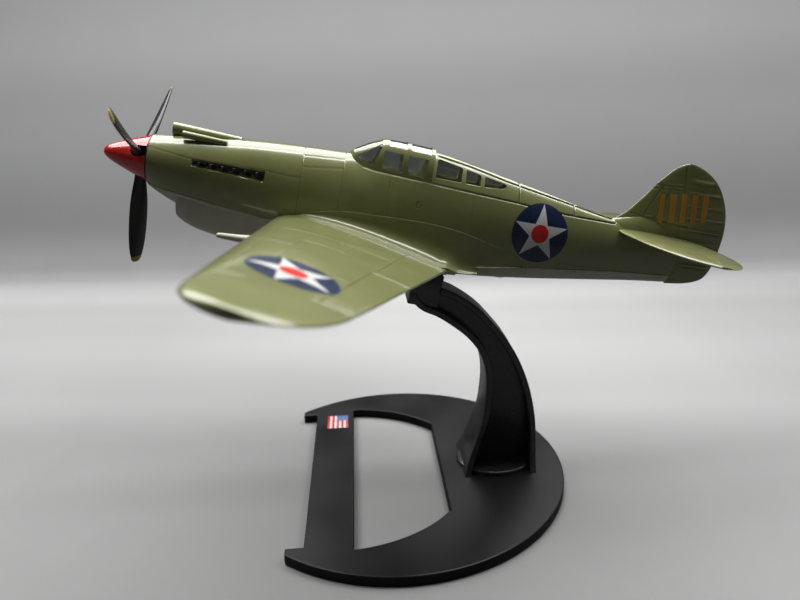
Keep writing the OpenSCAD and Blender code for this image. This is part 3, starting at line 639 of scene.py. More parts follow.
def canopy_arc(x, inset):
    width, base, top = curves(CANOPY, x)
    width, top = max(width-inset, .05), max(top-inset, base+.05)
    angle = np.linspace(0, np.pi, 300)
    z = base+(top-base)*superpow(np.abs(np.sin(angle)), 2.5)
    arc = resample(points(x, width*superpow(np.cos(angle), 2.5), z), 72)
    arc[:, 2] = np.maximum(arc[:, 2], straight(SILL, x)+.05)
    return arc


def hood(name, x0, x1, inset, wall, **kw):
    xs = stations(x0, x1, .3, [50, 56.6], reach=.6, fine=.12)
    return loft(name, [np.concatenate([canopy_arc(x, inset), canopy_arc(x, inset+wall)[::-1]])
                       for x in xs], **kw)


hood("canopy_glass_shell", 49.75, 66.8, inset=.11, wall=.3, mats=[glass],
     slot="clear_plastic", replaces="canopy_glass")
canopy_frame = hood("canopy_frame_bars", 49.5, 66.9, inset=-.07, wall=.16,
                    replaces="canopy_frame", **UPPER)
openings = [(pane, 12, .3) for pane in SIDE_PANES]
openings += [(pane, 6, .15) for pane in TOP_PANES]+[(WINDSCREEN, 2.0, .2)]
cut(canopy_frame, (prism(pane, -reach, reach, corner) for pane, reach, corner in openings), 30)

# ---------------------------------------------------------------- fin and rudder
# z, leading edge x, trailing edge x, half thickness
FIN = [[-7.4,114,124.5,.5], [-6.6,113,129.6,.6], [-5.3,112,132.9,.7], [-3.8,111,134.2,.75],
       [-1,110,135,.8], [4,108.6,135.3,.85], [7.5,111.8,135,.8], [11.2,114.5,133.9,.75],
       [14.4,116.6,132.1,.65], [16.6,118.3,130.2,.6], [18.4,120,127.6,.5],
       [19.4,121.6,125.2,.4], [19.7,122.4,124,.3]]
RUDDER_HINGE = [(121.7,19.8), (122.9,14.2), (126.2,-7.4)]
RUDDER_RIBS = [16.4, 13.9, 11.2, 8.5, 5.8, 3.1, .4, -2.3]
FIN_LINES = [[(112.5,7.2), (126.0,6.3)], [(116.4,14.2), (123.0,14.9)],
             [(115.9,13.4), (123.1,14.1)], [(115.2,7.3), (118.0,14.3)],
             [(117.8,7.1), (119.9,13.5)]]


def fin_y(x, z):
    lead, trail, half = curves(FIN, z)
    u = np.clip(((lead+trail)/2-x)/((trail-lead)/2), -1, 1)
    return half*np.abs(1-u*u)**.5**(2/2.2)*(1-.35*(1-u)/2)


def blade_section(lead, trail, half, taper, count):
    """Chordwise and thickness coordinates of a section that thins towards the rear."""
    angle = circle(count)
    u = np.cos(angle)
    thickness = half*superpow(np.sin(angle), 2.2)*(1-taper*(1-u)/2)
    return (lead+trail)/2-(trail-lead)/2*u, thickness


def build_fin():
    rings = []
    for z in stations(-7.35, 19.69, .28):
        x, y = blade_section(*curves(FIN, z), taper=.35, count=180)
        rings.append(points(x, y, z))
    rings = np.array(rings)
    pts = rings.reshape(-1, 3)
    x, y, z = pts.T
    xz = pts[:, [0, 2]]
    hinge = gauss(line_distance(xz, RUDDER_HINGE), .13)
    lines = np.max([gauss(line_distance(xz, line), .14) for line in FIN_LINES], axis=0)
    depth, groove = np.maximum(.16*hinge, .17*lines), np.maximum(hinge, lines)
    hinge_x = np.interp(z, *np.array(RUDDER_HINGE)[::-1, ::-1].T)
    on = np.clip((x-hinge_x-1.2)/.5, 0, 1)*np.clip((curve(FIN, 2, z)-x-.5)/.6, 0, 1)
    for level in RUDDER_RIBS:
        height = z-level-(x-127)*.02
        hollow = gauss(height+.36, .16)*on
        depth += .10*hollow-.17*gauss(height, .22)*on
        # painted shade in the hollows between the ribs
        groove = np.maximum(groove, hollow*.85)
    pts[:, 1] -= np.sign(y)*np.minimum(depth, np.abs(y)*.8)
    fin = loft("fin_and_rudder", rings, groove=groove, sharp=40, **PAINTED)
    # room for the tail of the fuselage
    notch = [(105,-20), (125.06,-20), (125.06,-5.24), (117.7,-5.72), (105,-6.8)]
    cut(fin, [prism(notch, -3, 3)], 40)


def build_fin_fairing():
    start, end, mid_z = 108.4, 122, 3.6
    rings = []
    for x in np.linspace(start, end, 30):
        t = (x-start)/(end-start)
        top = 5.0+2.2*min(1, t*2.2)*(1-.25*t)
        width = (.95+.9*math.sin(math.pi*min(1, t))**.7)*(1-.25*t)
        c, s = np.cos(circle(28)), np.sin(circle(28))
        z = mid_z+np.where(s > 0, (top-mid_z)*np.abs(s)**1.6, -1.5*np.abs(s))
        rings.append(points(x, width*c*np.where(s > 0, 1, 1.15), z))
    loft("fin_root_fairing", rings, **PAINTED)


build_fin()
build_fin_fairing()

# ---------------------------------------------------------------- intake and gun tubes
# a tube's mouth: distance aft, share of the way from bore to outer radius
MOUTH = [(.1,0), (.02,.25), (0,.5), (.03,.93)]


def duct(name, xs, y, zs, radii, bore, depth, sides=48):
    angle = circle(sides)

    def ring(x, radius, z):
        return points(x, y+radius*np.cos(angle), z+radius*np.sin(angle))

    rings = [ring(xs[0]+aft, bore+share*(radii[0]-bore), zs[0])
             for aft, share in [(depth, 0)]+MOUTH]
    rings += [ring(xs[0]+.1, radii[0], zs[0])]
    rings += [ring(*station) for station in zip(xs[1:], radii[1:], zs[1:])]
    # the bore and its back wall are black: painted shade inside the tube
    face_mats = [1]*sides+[0]*((len(rings)-2)*sides)+[1, 0]
    loft(name, rings, mats=[olive, black], face_mats=face_mats, slot="upper_paint")


t = np.linspace(0, 1, 18)
duct("intake_tube", 13.4+13.8*t, 0, 6.85-.25*t**1.2, 1.42-.32*t, bore=1.12, depth=3.2)
for side, label in SIDES:
    duct("gun_tube_"+label, 15.9+8.9*t, 2.95*side, 6.42-.2*t, .74-.16*t, bore=.47, depth=2.2,
         sides=32)

# ---------------------------------------------------------------- wing
ROOT_Y, ROOT_LEAD, ROOT_TRAIL, TIP_Y = 6.7, 36.3, 74.2, 78.6
WIDEST = .47    # share of the chord at which the tip is drawn in to a point
# kind, place, from, to: "u" runs spanwise at a chord share, "y" runs chordwise at a y
DEEP_LINES = [("u",.78,9,40), ("u",.77,40.5,66.5), ("y",40.3,.77,1.01), ("y",66.5,.72,1.01)]
FAINT_LINES = [("y",12.5,.1,.77), ("y",26,.08,.77), ("y",40.3,.08,.3), ("y",52.5,.3,.77),
               ("u",.12,12.5,60), ("u",.45,12.5,26), ("u",.3,26,52.5), ("u",.55,26,34),
               ("y",34,.3,.55), ("y",66.5,.1,.3)]


def tip_fall(y, start=58, power=3):
    """1 inboard of start, falling to 0 at the tip."""
    s = np.clip((y-start)/(TIP_Y-start), 0, 1)
    return np.sqrt(np.clip(1-s**power, 0, 1))


def wing_edges(y):
    lead = ROOT_LEAD-.057*(y-ROOT_Y)
    trail = ROOT_TRAIL-.362*(y-ROOT_Y)
    mid = lead+WIDEST*(trail-lead)
    return (mid-(mid-lead)*np.maximum(tip_fall(y, 70, 3.4), .04),
            mid+(trail-mid)*np.maximum(tip_fall(y, 62, 4.2), .04))


def chord_z(x, y):
    return -7.1+math.tan(math.radians(4.2))*(y-ROOT_Y)-.10*(x-ROOT_LEAD)


def wing_z(x, y, top=True):
    lead, trail = wing_edges(y)
    u = np.clip((x-lead)/(trail-lead), 0, 1)
    foil = (1.48*np.sqrt(u)-.63*u-1.76*u*u+1.42*u**3-.51*u**4)*2+.07*np.sqrt(u)
    thick = (2.95-1.6*(y-ROOT_Y)/72)*(.35+.65*tip_fall(y)**.6)
    return chord_z(x, y)+(1 if top else -.72)*thick*foil/1.03+(.05 if top else -.05)*u


def grid_lines(values, lines, kind, steps, gap):
    """Adds fine steps on both sides of each panel line of one kind."""
    values = list(values)
    for mark in {line[1] for line in lines if line[0] == kind}:
        values += [mark+sign*step for step in steps for sign in (-1, 1)]+[mark]
    if kind == "u":
        values = np.clip(np.round(values, 5), 0, 1)
    else:
        values = np.round(values, 4)
    values = np.unique(values)
    return values[np.r_[True, np.diff(values) > gap]]


def wing_half(name, side, top, finish):
    lines = DEEP_LINES+FAINT_LINES
    us = grid_lines(.5-.5*np.cos(np.linspace(0, np.pi, 64)), lines, "u",
                    (.0015, .0035, .006, .009), .0006)
    ys = np.r_[np.arange(5.2, 57, .9), np.arange(57, 74, .6), 78.58-np.geomspace(4.4, .03, 24)]
    ys = grid_lines(ys, lines, "y", (.05, .1, .18, .3), .02)
    u, y = np.meshgrid(us, ys)
    lead, trail = wing_edges(y)
    x = lead+(trail-lead)*u
    depth, groove = np.zeros_like(x), np.zeros_like(x)
    for group, line_depth, line_shade in ((DEEP_LINES, .08, .75), (FAINT_LINES, .045, .35)):
        for kind, at, low, high in group:
            if kind == "u":
                d = np.where((y > low) & (y < high), np.abs(u-at)*(trail-lead), FAR)
            else:
                d = np.where((u > low) & (u < high), np.abs(y-at), FAR)
            depth = np.maximum(depth, line_depth*gauss(d, .1))
            groove = np.maximum(groove, line_shade*gauss(d, .1))
    z = wing_z(x, y, top)+(-depth if top else depth)
    # flat closing face on the chord plane, the lower one set down a little
    ends_x, ends_y = x[:, [-1, 0]], y[:, [-1, 0]]
    closing = points(ends_x, ends_y*side, chord_z(ends_x, ends_y)+(0.0 if top else -.03))
    rings = np.concatenate([points(x, y*side, z), closing], 1)
    groove = np.concatenate([groove, np.zeros((len(x), 2))], 1)
    return loft(name, rings, groove=groove.ravel(), weld=.0005, **finish)


def drum_cutter(side):
    """Upright drum at x 52, y 14, from z -11.2 down to -16.2."""
    drum = prism([(52+4.1*math.cos(a), 4.1*math.sin(a)) for a in circle(64)], 0, 1)
    upright = Matrix(((1, 0, 0, 0), (0, 0, 1, 14*side*MM), (0, 1, 0, -11.2*MM), (0, 0, 0, 1)))
    drum.matrix_world = AIRCRAFT @ upright @ Matrix.Diagonal((1, -5, 1, 1))
    return drum


for side, label in SIDES:
    wing_half("wing_top_"+label, side, True, PAINTED)
    wing_bottom = wing_half("wing_bottom_"+label, side, False, UNDER)
    cut(wing_bottom, [drum_cutter(side)])
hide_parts("wing_casting")

# x, z at the fuselage, outer y, z at the outer edge
FILLET = [[37.8,-6.25,6.95,-6.45], [40,-5.4,8,-6], [44,-3.9,9.4,-5.3], [50,-2.7,10.6,-5],
          [58,-2.3,11.4,-5.5], [66,-2.1,11.8,-7], [72,-2.4,10.8,-9.4], [76,-3,8.8,-10.9],
          [80.1,-3.9,7.3,-10.9]]
FILLET_TAIL = [[79.2,-3.68,6.35,-9.6], [80.1,-3.95,6.4,-9.55], [83,-4.55,6.05,-9.2],
               [87,-5.7,5.5,-8.7], [90.4,-7.65,5,-8.3]]
FILLET_START = FILLET[0][0]
LEAVES_WING = 71.5    # x from which the outer edge blends from the wing to the table


def fillet_ring(table, x, side, tail):
    z0, y1, z1 = (float(v) for v in curves(table, x))
    if not tail:
        ahead = max(FILLET_START-x, 0)
        z0 -= ahead*.6
        y1 -= ahead*.5
        k = np.clip((x-LEAVES_WING)/1.7, 0, 1)
        z1 = z1*k+(1-k)*(float(wing_z(x, y1))+.015)
    y0 = float(body_y(x, z0))+.17
    y1 = max(y1, y0+.1)
    t = np.linspace(0, 1, 24)
    y = y0+(y1-y0)*(1-(1-t**1.75)**(1/1.75))
    z = z0-.05+(z1-z0+.05)*(1-(1-t)**1.7)**(1/1.7)
    under = z1-(.12 if tail or x > 72.6 else .5)
    low = min(under, z0-1)
    y = np.r_[y0-.6, y0-.14, y0-.04, y0, y, y1+(-.02 if tail else .02),
              max(y0-.7, y1-1.6), y0-.7]
    z = np.r_[z0+.10, z0+.10, z0+.07, z0+.01, z, under, low, low+.3]
    return points(x, y*side, z)


for side, label in SIDES:
    for name, table, xs in (
            ("wing_fillet_", FILLET, np.r_[np.linspace(37.2, 79.9, 126), 80.05, 80.1]),
            ("wing_fillet_tail_", FILLET_TAIL, np.r_[np.linspace(79.6, 90.25, 40), 90.4])):
        loft(name+label, [fillet_ring(table, x, side, table is FILLET_TAIL) for x in xs],
             sharp=38, **PAINTED)

# keel between the wings: x, half width, bottom z
KEEL = [[36,6.3,-13.55], [40,7.2,-13.6], [46,8.1,-13.6], [60,8.5,-13.5], [68,8,-13.4],
        [76,5.4,-13.15]]


def keel_ring(x):
    width, bottom = curves(KEEL, x)
    angle = np.linspace(0, np.pi, 60)
    top = min(-9.6, -7.55-.1*(x-ROOT_LEAD))
    y = width*superpow(np.cos(angle), 2.2)
    z = top-.1+(bottom+.1-top)*superpow(np.abs(np.sin(angle)), 2.2)
    return points(x, np.r_[width, y, -width], np.r_[top, z, top])


keel = loft("belly_keel", [keel_ring(x) for x in stations(36, 76, .8)],
            replaces="wing_underside", **UNDER)
# slot for the stand arm's head
cut(keel, [prism([(66.44,-15), (74.44,-15), (74.44,-9.9), (66.44,-9.9)], -3, 3)])

# x, radius, axis z
GEAR = [[26.6,.22,-9.86], [26.9,.45,-9.86], [28,.58,-9.85], [31,.75,-9.82], [34,1.05,-9.75],
        [38,1.5,-9.7], [43,1.75,-9.85], [47,1.6,-9.95], [50,1.15,-9.95], [52,.6,-9.9]]
GEAR_NOSE, GEAR_NOSE_END = 26.58, 26.7    # the blunt front of the fairing


def gear_ring(x, side):
    radius, z = curves(GEAR, x)
    if x <= GEAR_NOSE_END:
        radius = min(.05+.3*math.sqrt((x-GEAR_NOSE)/.12), curve(GEAR, 1, GEAR_NOSE_END)+.05)
    angle = circle(40)
    return points(x, side*15.2+radius*1.05*np.cos(angle), z+radius*np.sin(angle))


for side, label in SIDES:
    xs = np.r_[GEAR_NOSE, 26.6, 26.64, GEAR_NOSE_END, 26.8, 26.95, 27.2,
               np.linspace(27.6, 52, 60)]
    loft("gear_fairing_"+label, [gear_ring(x, side) for x in xs], **UNDER)

# ---------------------------------------------------------------- tailplane
# y, leading edge x, trailing edge x, half thickness
TAILPLANE = [[1,110.2,129.4,.8], [6,110.2,130,.78], [10,110.7,130.2,.75], [14,111.5,130,.7],
             [18,112.9,129.4,.65], [21,114.4,128.3,.6], [24,116.5,126.6,.5],
             [26,118.5,124.6,.4], [27,120.4,122.8,.25]]
ELEVATOR_RIBS = (7, 11, 15, 19, 22.5)


def build_tailplane(side, label):
    rings = []
    for y in stations(.85, 26.98, .3, [4.6], reach=.25):
        lead, trail, half = curves(TAILPLANE, y)
        # the elevator is cut away next to the fuselage
        trail = 121.7+(trail-121.7)*np.clip((y-1.1)/.15, 0, 1)
        x, z = blade_section(lead, trail, half, taper=.4, count=150)
        rings.append(points(x, y*27.2/27, 2.95+.004*y+z))
    rings = np.array(rings)
    pts = rings.reshape(-1, 3)
    x, y, z = pts.T
    hinge_x = 121.9-.02*y
    hinge = gauss(np.where(y < 25.2, np.abs(x-hinge_x), FAR), .12)
    on = np.clip((x-hinge_x-.7)/.5, 0, 1)
    ribs = sum(gauss(y-at, .16) for at in ELEVATOR_RIBS)*on*.35
    pts[:, 2] += np.sign(z-(2.95+.004*y))*(.14*ribs-.11*hinge)
    pts[:, 1] *= side
    name = "tailplane_"+label
    # the hinge line gets painted shade
    loft(name+"_skin", rings, groove=hinge*.9, replaces=name, **PAINTED)


for side, label in SIDES:
    build_tailplane(side, label)

# ---------------------------------------------------------------- exhausts
# a stub from root to mouth: distance out, aft, width factor, height factor
STUB = [(0,0,.85,.9), (.45,.35,.88,.95), (.8,.75,.95,1.), (1.0,1.12,1.0,1.05),
        (1.02,1.2,.92,.95), (.98,1.16,.75,.75), (.6,.7,.6,.6)]
STUB_PITCH = 2.3


def build_exhausts(side, label):
    verts, faces = [], []
    c, s = superpow(np.cos(circle(20)), 3.2), superpow(np.sin(circle(20)), 3.2)
    for i in range(6):
        x, z, height = 19.85+STUB_PITCH*i, 1.48-.02*i, .36+.045*i
        y = float(body_y(x+.6, 1.4))-1.0
        rings = [points(x+aft*.9+.72*wide*c, y+out, z+height*tall*1.15*s)
                 for out, aft, wide, tall in STUB]
        faces += loft_faces(len(rings), 20, len(verts))
        verts += np.concatenate(rings).tolist()
    # backing strip in the recess
    x0, x1 = 18.8, 33.1
    y0, y1 = (float(body_y(x, 1.4))-.5 for x in (x0, x1))
    strip = [(x0, y0, 1.0), (x1, y1, .5), (x1, y1, 2.2), (x0, y0, 1.92)]
    b = len(verts)
    verts += strip+[(x, y-.3, z) for x, y, z in strip]
    faces += [(b, b+1, b+2, b+3), (b+7, b+6, b+5, b+4)]
    faces += [(b+j, b+(j+1) % 4, b+4+(j+1) % 4, b+4+j) for j in range(4)]
    make("exhaust_row_"+label, np.array(verts, float)*[1, side, 1], faces, mats=[black],
         slot="black_plastic", replaces="exhaust_"+label)


for side, label in SIDES:
    build_exhausts(side, label)

# ---------------------------------------------------------------- propeller and spinner
# distance from the axis, chord, half thickness, pitch in degrees
BLADE = [[2.6,2,.8,58], [4.5,2.35,.72,54], [7,3.2,.6,47], [10,4.1,.5,40], [14,4.6,.44,34],
         [18,4.5,.38,30], [20.5,3.95,.32,27], [22,3.05,.28,26], [22.9,1.9,.2,25],
         [23.2,1,.15,25]]
BLADE_ROOT, BLADE_TIP = BLADE[0][0], BLADE[-1][0]
TIP_PAINT, TIP_ROUND = 21.9, 22    # where the painted tip and its rounding begin
HUB_X = 7.4
BLADE_ANGLES = [math.radians(5+120*i) for i in range(3)]
# radius, x
HUB = [(.76,5.55), (2.3,5.55), (2.6,5.65), (2.75,5.9), (2.85,9.0), (2.8,9.2), (2.6,9.3),
       (.76,9.3), (.76,7)]
SPINNER = [[0,0], [.35,.06], [.66,.2], [.97,.45], [1.3,.9], [1.66,1.5], [2.15,2.5],
           [2.63,3.6], [3.11,4.8], [3.57,6], [4.02,7.2], [4.45,8.3], [4.78,9.1], [4.92,9.4]]
SPINNER_RIM = [[4.9,9.34], [4.86,9.4], [4.7,9.4], [4.3,9.38], [3.85,7.8], [3.0,5.35], [.02,5.3]]


def build_blade(number, phase):
    radii = np.unique(np.r_[np.linspace(BLADE_ROOT, TIP_PAINT, 64), TIP_PAINT,
                            np.linspace(TIP_PAINT, 22.6, 6),
                            BLADE_TIP-np.geomspace(.6, .004, 12)])
    angle = circle(44)
    rings = []
    for r in radii:
        chord, thick, pitch = (float(v) for v in curves(BLADE, r))
        half = chord/2
        if r > TIP_ROUND:
            fall = math.sqrt(1-((r-TIP_ROUND)/1.201)**2.2)
            half = float(curve(BLADE, 1, TIP_ROUND))/2*fall+.03
        pitch = math.radians(pitch)
        u = half*np.cos(angle)
        v = thick*np.sin(angle)*(1-.35*np.cos(angle))*min(1, half/.5)
        y, z = -u*math.cos(pitch)-v*math.sin(pitch), -r
        rings.append(points(HUB_X-u*math.sin(pitch)+v*math.cos(pitch),
                            y*math.cos(phase)-z*math.sin(phase),
                            y*math.sin(phase)+z*math.cos(phase)))
    face_mats = [int(r >= TIP_PAINT-.01) for r in radii[:-1] for _ in angle]+[0, 1]
    loft("propeller_blade_%d" % number, rings, body="propeller", mats=[prop_black, yellow],
         face_mats=face_mats, slot="prop_plastic", sharp=60)


def turned(profile, count):
    """Rings about the x axis from (radius, x) pairs."""
    angle = circle(count)
    return [points(x, r*np.cos(angle), r*np.sin(angle)) for r, x in profile]


def build_hub():
    n, k = len(HUB), 64
    last = (n-1)*k
    bore = [(j, (j+1) % k, last+(j+1) % k, last+j) for j in range(k)]
    make("propeller_hub", np.concatenate(turned(HUB, k)), quads(n, k, True)+bore,
         body="propeller", mats=[prop_black], slot="prop_plastic", replaces="propeller_blades")


def blade_slot(phase):
    half = 1.22
    outline = [(HUB_X-.1+1.15*math.cos(a), half*math.sin(a))
               for a in np.linspace(math.pi/2, 3*math.pi/2, 16)]
    cutter = prism(outline+[(10.2, -half*.8), (10.2, half*.8)], 1.5, 9)
    # the outline's push direction is turned outwards along the blade
    outwards = Matrix(((1, 0, 0, 0), (0, 0, 1, 0), (0, -1, 0, 0), (0, 0, 0, 1)))
    cutter.matrix_world = AIRCRAFT @ Matrix.Rotation(phase, 4, "X") @ outwards
    return cutter


def build_spinner():
    table = run_table(SPINNER)
    run = np.unique(np.r_[np.linspace(0, 1, 16), np.linspace(1, table[-1, 0], 46)])
    skin = np.stack(curves(table, run), 1)[1:-1]
    spinner = loft("spinner_shell",
                   turned(np.concatenate([[[.02, 0.0]], skin, SPINNER_RIM]), 128),
                   body="propeller", mats=[red], slot="spinner_paint", replaces="spinner",
                   sharp=40)
    cut(spinner, (blade_slot(phase) for phase in BLADE_ANGLES), 36)


for number, phase in enumerate(BLADE_ANGLES, 1):
    build_blade(number, phase)
build_hub()
build_spinner()


# ---------------------------------------------------------------- markings
def decal(name, outline, place, offset, material, center, turn=0, rows=10):
    """Closed film cut to a radial outline (angles, radii) and laid on a surface."""
    angles, radii = outline
    k = len(angles)
    verts, faces = [], []
    half = 1+rows*k
    for lift in (offset, offset-.08):
        verts.append(place(np.array([center[0]]), np.array([center[1]]), lift))
        for share in np.linspace(0, 1, rows+1)[1:]:
            verts.append(place(center[0]+share*radii*np.cos(angles+turn),
                               center[1]+share*radii*np.sin(angles+turn), lift))
    for base in (0, half):
        faces += [(base, base+1+j, base+1+(j+1) % k) for j in range(k)]
        faces += quads(rows, k, True, base+1, True)
    e = half-k
    faces += [(e+j, half+e+j, half+e+(j+1) % k, e+(j+1) % k) for j in range(k)]
    make(name, np.concatenate(verts), faces, mats=[material], slot="upper_paint", sharp=60)


def disc(radius, count=96):
    return circle(count), np.full(count, radius)


def star(radius):
    angles = math.pi/2+np.arange(10)*math.pi/5
    radii = np.where(np.arange(10) % 2 == 0, radius, radius*.382)
    corners = np.stack([radii*np.cos(angles), radii*np.sin(angles)], 1)
    t = np.linspace(0, 1, 12, endpoint=False)[:, None]
    x, y = np.concatenate([a+(b-a)*t for a, b in zip(corners, np.roll(corners, -1, 0))]).T
    return np.arctan2(y, x), np.hypot(x, y)


def on_body(side):
    def place(x, z, lift):
        e = .05
        slope = (body_y(x, z+e)-body_y(x, z-e))/(2*e)
        out = lift/np.sqrt(1+slope**2)
        return points(x, side*(body_y(x, z)+out), z-out*slope)
    return place


def on_wing(side, top):
    def place(x, y, lift):
        return points(x, side*y, wing_z(x, y, top)+(lift if top else -lift))
    return place


def insignia(part, label, place, center, radii, turn=0):
    """Disc, star and centre spot, each a little above the last."""
    outer, star_radius, spot = radii
    decal(part+"_disc_"+label, disc(outer), place, .03, navy, center)
    decal(part+"_star_"+label, star(star_radius), place, .05, white, center, turn=turn)
    decal(part+"_centre_"+label, disc(spot, 48), place, .07, disc_red, center, rows=5)


def build_fin_bars(side, label):
    """Five leaning bars on one side of the fin."""
    a, b = np.meshgrid(np.linspace(-1, 1, 4), np.linspace(-1, 1, 12), indexing="ij")
    verts, faces = [], []
    for i in range(5):
        half_width, half_height = (.62 if i else .45), 3.1
        x = 118.9+2.45*i+a*half_width-b*.55
        z = 9.2+.42*i+b*half_height+a*.1
        verts += [points(x, side*(fin_y(x, z)+lift), z).reshape(-1, 3) for lift in (.15, -.04)]
        faces += slab_faces(4, 12, i*2*a.size)
    make("fin_bars_"+label, np.concatenate(verts), faces, mats=[bar_orange],
         slot="upper_paint", sharp=60)


for side, label in SIDES:
    insignia("side", label, on_body(side), (92.2, -.45), (6.3, 6.2, 1.95))
for side, top, label in ((-1, True, "upper"), (1, False, "lower")):
    insignia("wing", label, on_wing(side, top), (44.0, 57.8), (6.55, 6.45, 2.0), math.pi/2)
for side, label in SIDES:
    build_fin_bars(side, label)

# ---------------------------------------------------------------- stand arm
# side view of the arm's two edges: x, z in the stand's frame
ARM_REAR = [[8.4,2.4], [8.7,8], [8.5,15.2], [7.2,22.6], [4.9,29.3], [2,34.7], [-1.2,39],
            [-4.6,42.8], [-9.4,46.4], [-12.7,48]]
ARM_FRONT = [[-8.7,2.4], [-7.6,5.2], [-5.4,11], [-3.9,16], [-3.2,21], [-3,25], [-3.4,29],
             [-4.7,32.6], [-7.2,36], [-10.6,39], [-14,41.4], [-17.2,43], [-18.9,44.6],
             [-19.8,46.6]]
# z, half width of the flanges
FLANGE_WIDTH = [(2.4,7.9), (4,6.7), (6.5,5.9), (10,5.3), (18,4.6), (30,4.1), (50,3.8)]


def flange(name, edge, inward, **kw):
    """Rounded strip along an edge line; inward is the sign of its thickness direction."""
    thick, r = 1.5, .32
    line = spline(edge, 90)
    tangent = np.gradient(line, axis=0)
    tangent /= np.linalg.norm(tangent, axis=1, keepdims=True)
    rings = []
    for (x, z), (tx, tz) in zip(line, tangent):
        w = float(straight(FLANGE_WIDTH, z))-r
        ring = []
        for y, depth, start in ((w, r, 0), (w, thick-r, 90), (-w, thick-r, 180), (-w, r, 270)):
            for q in range(5):
                a = math.radians(start+90*q/4-90)
                d = (depth+r*math.sin(a))*inward
                ring.append((x-tz*d, y+r*math.cos(a), z+tx*d))
        rings.append(ring)
    loft(name, rings, place=STAND, sharp=40, **ARM, **kw)


def arm_web():
    rear, front = spline(ARM_REAR, 90), spline(ARM_FRONT, 90)
    verts = []
    for y in (-1.3, 1.3):
        for a, b in zip(rear, front):
            for share in (.04, .35, .65, .96):
                x, z = a*(1-share)+b*share
                verts.append((x, y, z))
    make("stand_arm_web", verts, slab_faces(90, 4), place=STAND, **ARM)


def rounded_box(x0, x1, y0, y1, z0, z1, r=.3, steps=4):
    ring = []
    for x, y, start in ((x1-r, y1-r, 0), (x0+r, y1-r, 90), (x0+r, y0+r, 180), (x1-r, y0+r, 270)):
        for i in range(steps+1):
            a = math.radians(start+90*i/steps)
            ring.append((x, y, math.cos(a), math.sin(a)))
    x, y, c, s = np.array(ring).T
    levels = ((z0, r*.6), (z0+r*.25, r*.15), (z0+r*.6, 0), (z1-r*.6, 0),
              (z1-r*.25, r*.15), (z1, r*.6))
    return [points(x+(r-inset)*c, y+(r-inset)*s, z) for z, inset in levels]


flange("stand_arm_rear_flange", ARM_REAR, 1, replaces="stand_arm")
flange("stand_arm_front_flange", ARM_FRONT, -1)
arm_web()
# foot pad: z, inset
FOOT = ((2.4,0), (3.1,0), (3.32,.06), (3.47,.2), (3.5,.42))
angle = circle(96)
loft("stand_arm_foot",
     [points((9.3-inset)*np.cos(angle)-.2, (8.2-inset)*np.sin(angle), z) for z, inset in FOOT],
     place=STAND, sharp=50, **ARM)
loft("stand_arm_head", rounded_box(67.2, 74.1, -3.5, 3.5, -21, -13.62), sharp=50, **ARM)
loft("stand_arm_tongue", rounded_box(67.84, 73.04, -1.8, 1.8, -15, -10.7, .2), sharp=50, **ARM)

# ---------------------------------------------------------------- flag label
LABEL_X0, LABEL_X1, LABEL_Y0, LABEL_Y1, LABEL_Z = -41.9, -36.3, 20.1, 27.1, 2.42
STRIPE = (LABEL_X1-LABEL_X0)/9


def tile(name, x0, x1, y0, y1, low, high, material, replaces=None):
    box = rounded_box(x0, x1, y0, y1, LABEL_Z+low, LABEL_Z+high, .03, 2)
    loft(name, box, place=STAND, body="stand", mats=[material], slot="label", sharp=50,
         replaces=replaces)


tile("label_film", LABEL_X0, LABEL_X1, LABEL_Y0, LABEL_Y1, 0, .07, label_white, "flag_label")
for i in range(5):
    tile("label_stripe_%d" % i, LABEL_X0+2*i*STRIPE, LABEL_X0+(2*i+1)*STRIPE,
         LABEL_Y0+.02, LABEL_Y1-.02, .06, .095, label_red)
tile("label_corner", LABEL_X0+STRIPE*4, LABEL_X1-.01, LABEL_Y0+4.1, LABEL_Y1-.01,
     .08, .115, label_blue)

# ---------------------------------------------------------------- CAD pieces kept as they are
# node, material, bevel width, bevel segments
KEPT = [("spinner_backplate", black, 0, 0), ("propeller_shaft", steel, 0, 0),
        ("shaft_bush", brass, 0, 0), ("shaft_collar", steel, 0, 0),
        ("base_plate", stand_black, .35, 3), ("base_screws", steel, 0, 0),
        ("belly_screws", steel, 0, 0), ("stand_socket", black, .12, 2),
        ("radiator_insert", black, 0, 0), ("retracted_wheels", tyre, 0, 0),
        ("cockpit_tub", tub, .2, 2), ("pilot_seat", tub, .2, 2)]
for node, material, width, segments in KEPT:
    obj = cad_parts[node]
    obj.data.materials.clear()
    obj.data.materials.append(material)
    if width:
        obj.modifiers.new("weld", "WELD").merge_threshold = 2e-6
        bevel = obj.modifiers.new("bevel", "BEVEL")
        bevel.width = width*MM
        bevel.segments = segments
        bevel.limit_method = "ANGLE"
        bevel.angle_limit = math.radians(35)

# ---------------------------------------------------------------- stage
# position along the ramp, brightness: painted light and shade on the floor by depth, wall glow by
# height
FLOOR_STOPS = [(0, .19), (.2, .22), (.33, .205), (.42, .275), (.58, .355), (.66, .405),
               (.74, .515)]
WALL_STOPS = [(0, .60), (.009, .50), (.018, .38), (.032, .30), (.10, .235), (.281, .335),
              (.377, .405), (.445, .385), (1, .37)]


def grey_ramp(g, value, stops):
    node = g.node("ValToRGB", {0: value})
    ramp = node.color_ramp
    while len(ramp.elements) > 1:
        ramp.elements.remove(ramp.elements[-1])
    first = ramp.elements[0]
    first.position, level = stops[0]
    first.color = (level, level, level, 1)
    for position, level in stops[1:]:
        ramp.elements.new(position).color = (level, level, level*1.01, 1)
    ramp.interpolation = "EASE"
    return node.outputs[0]


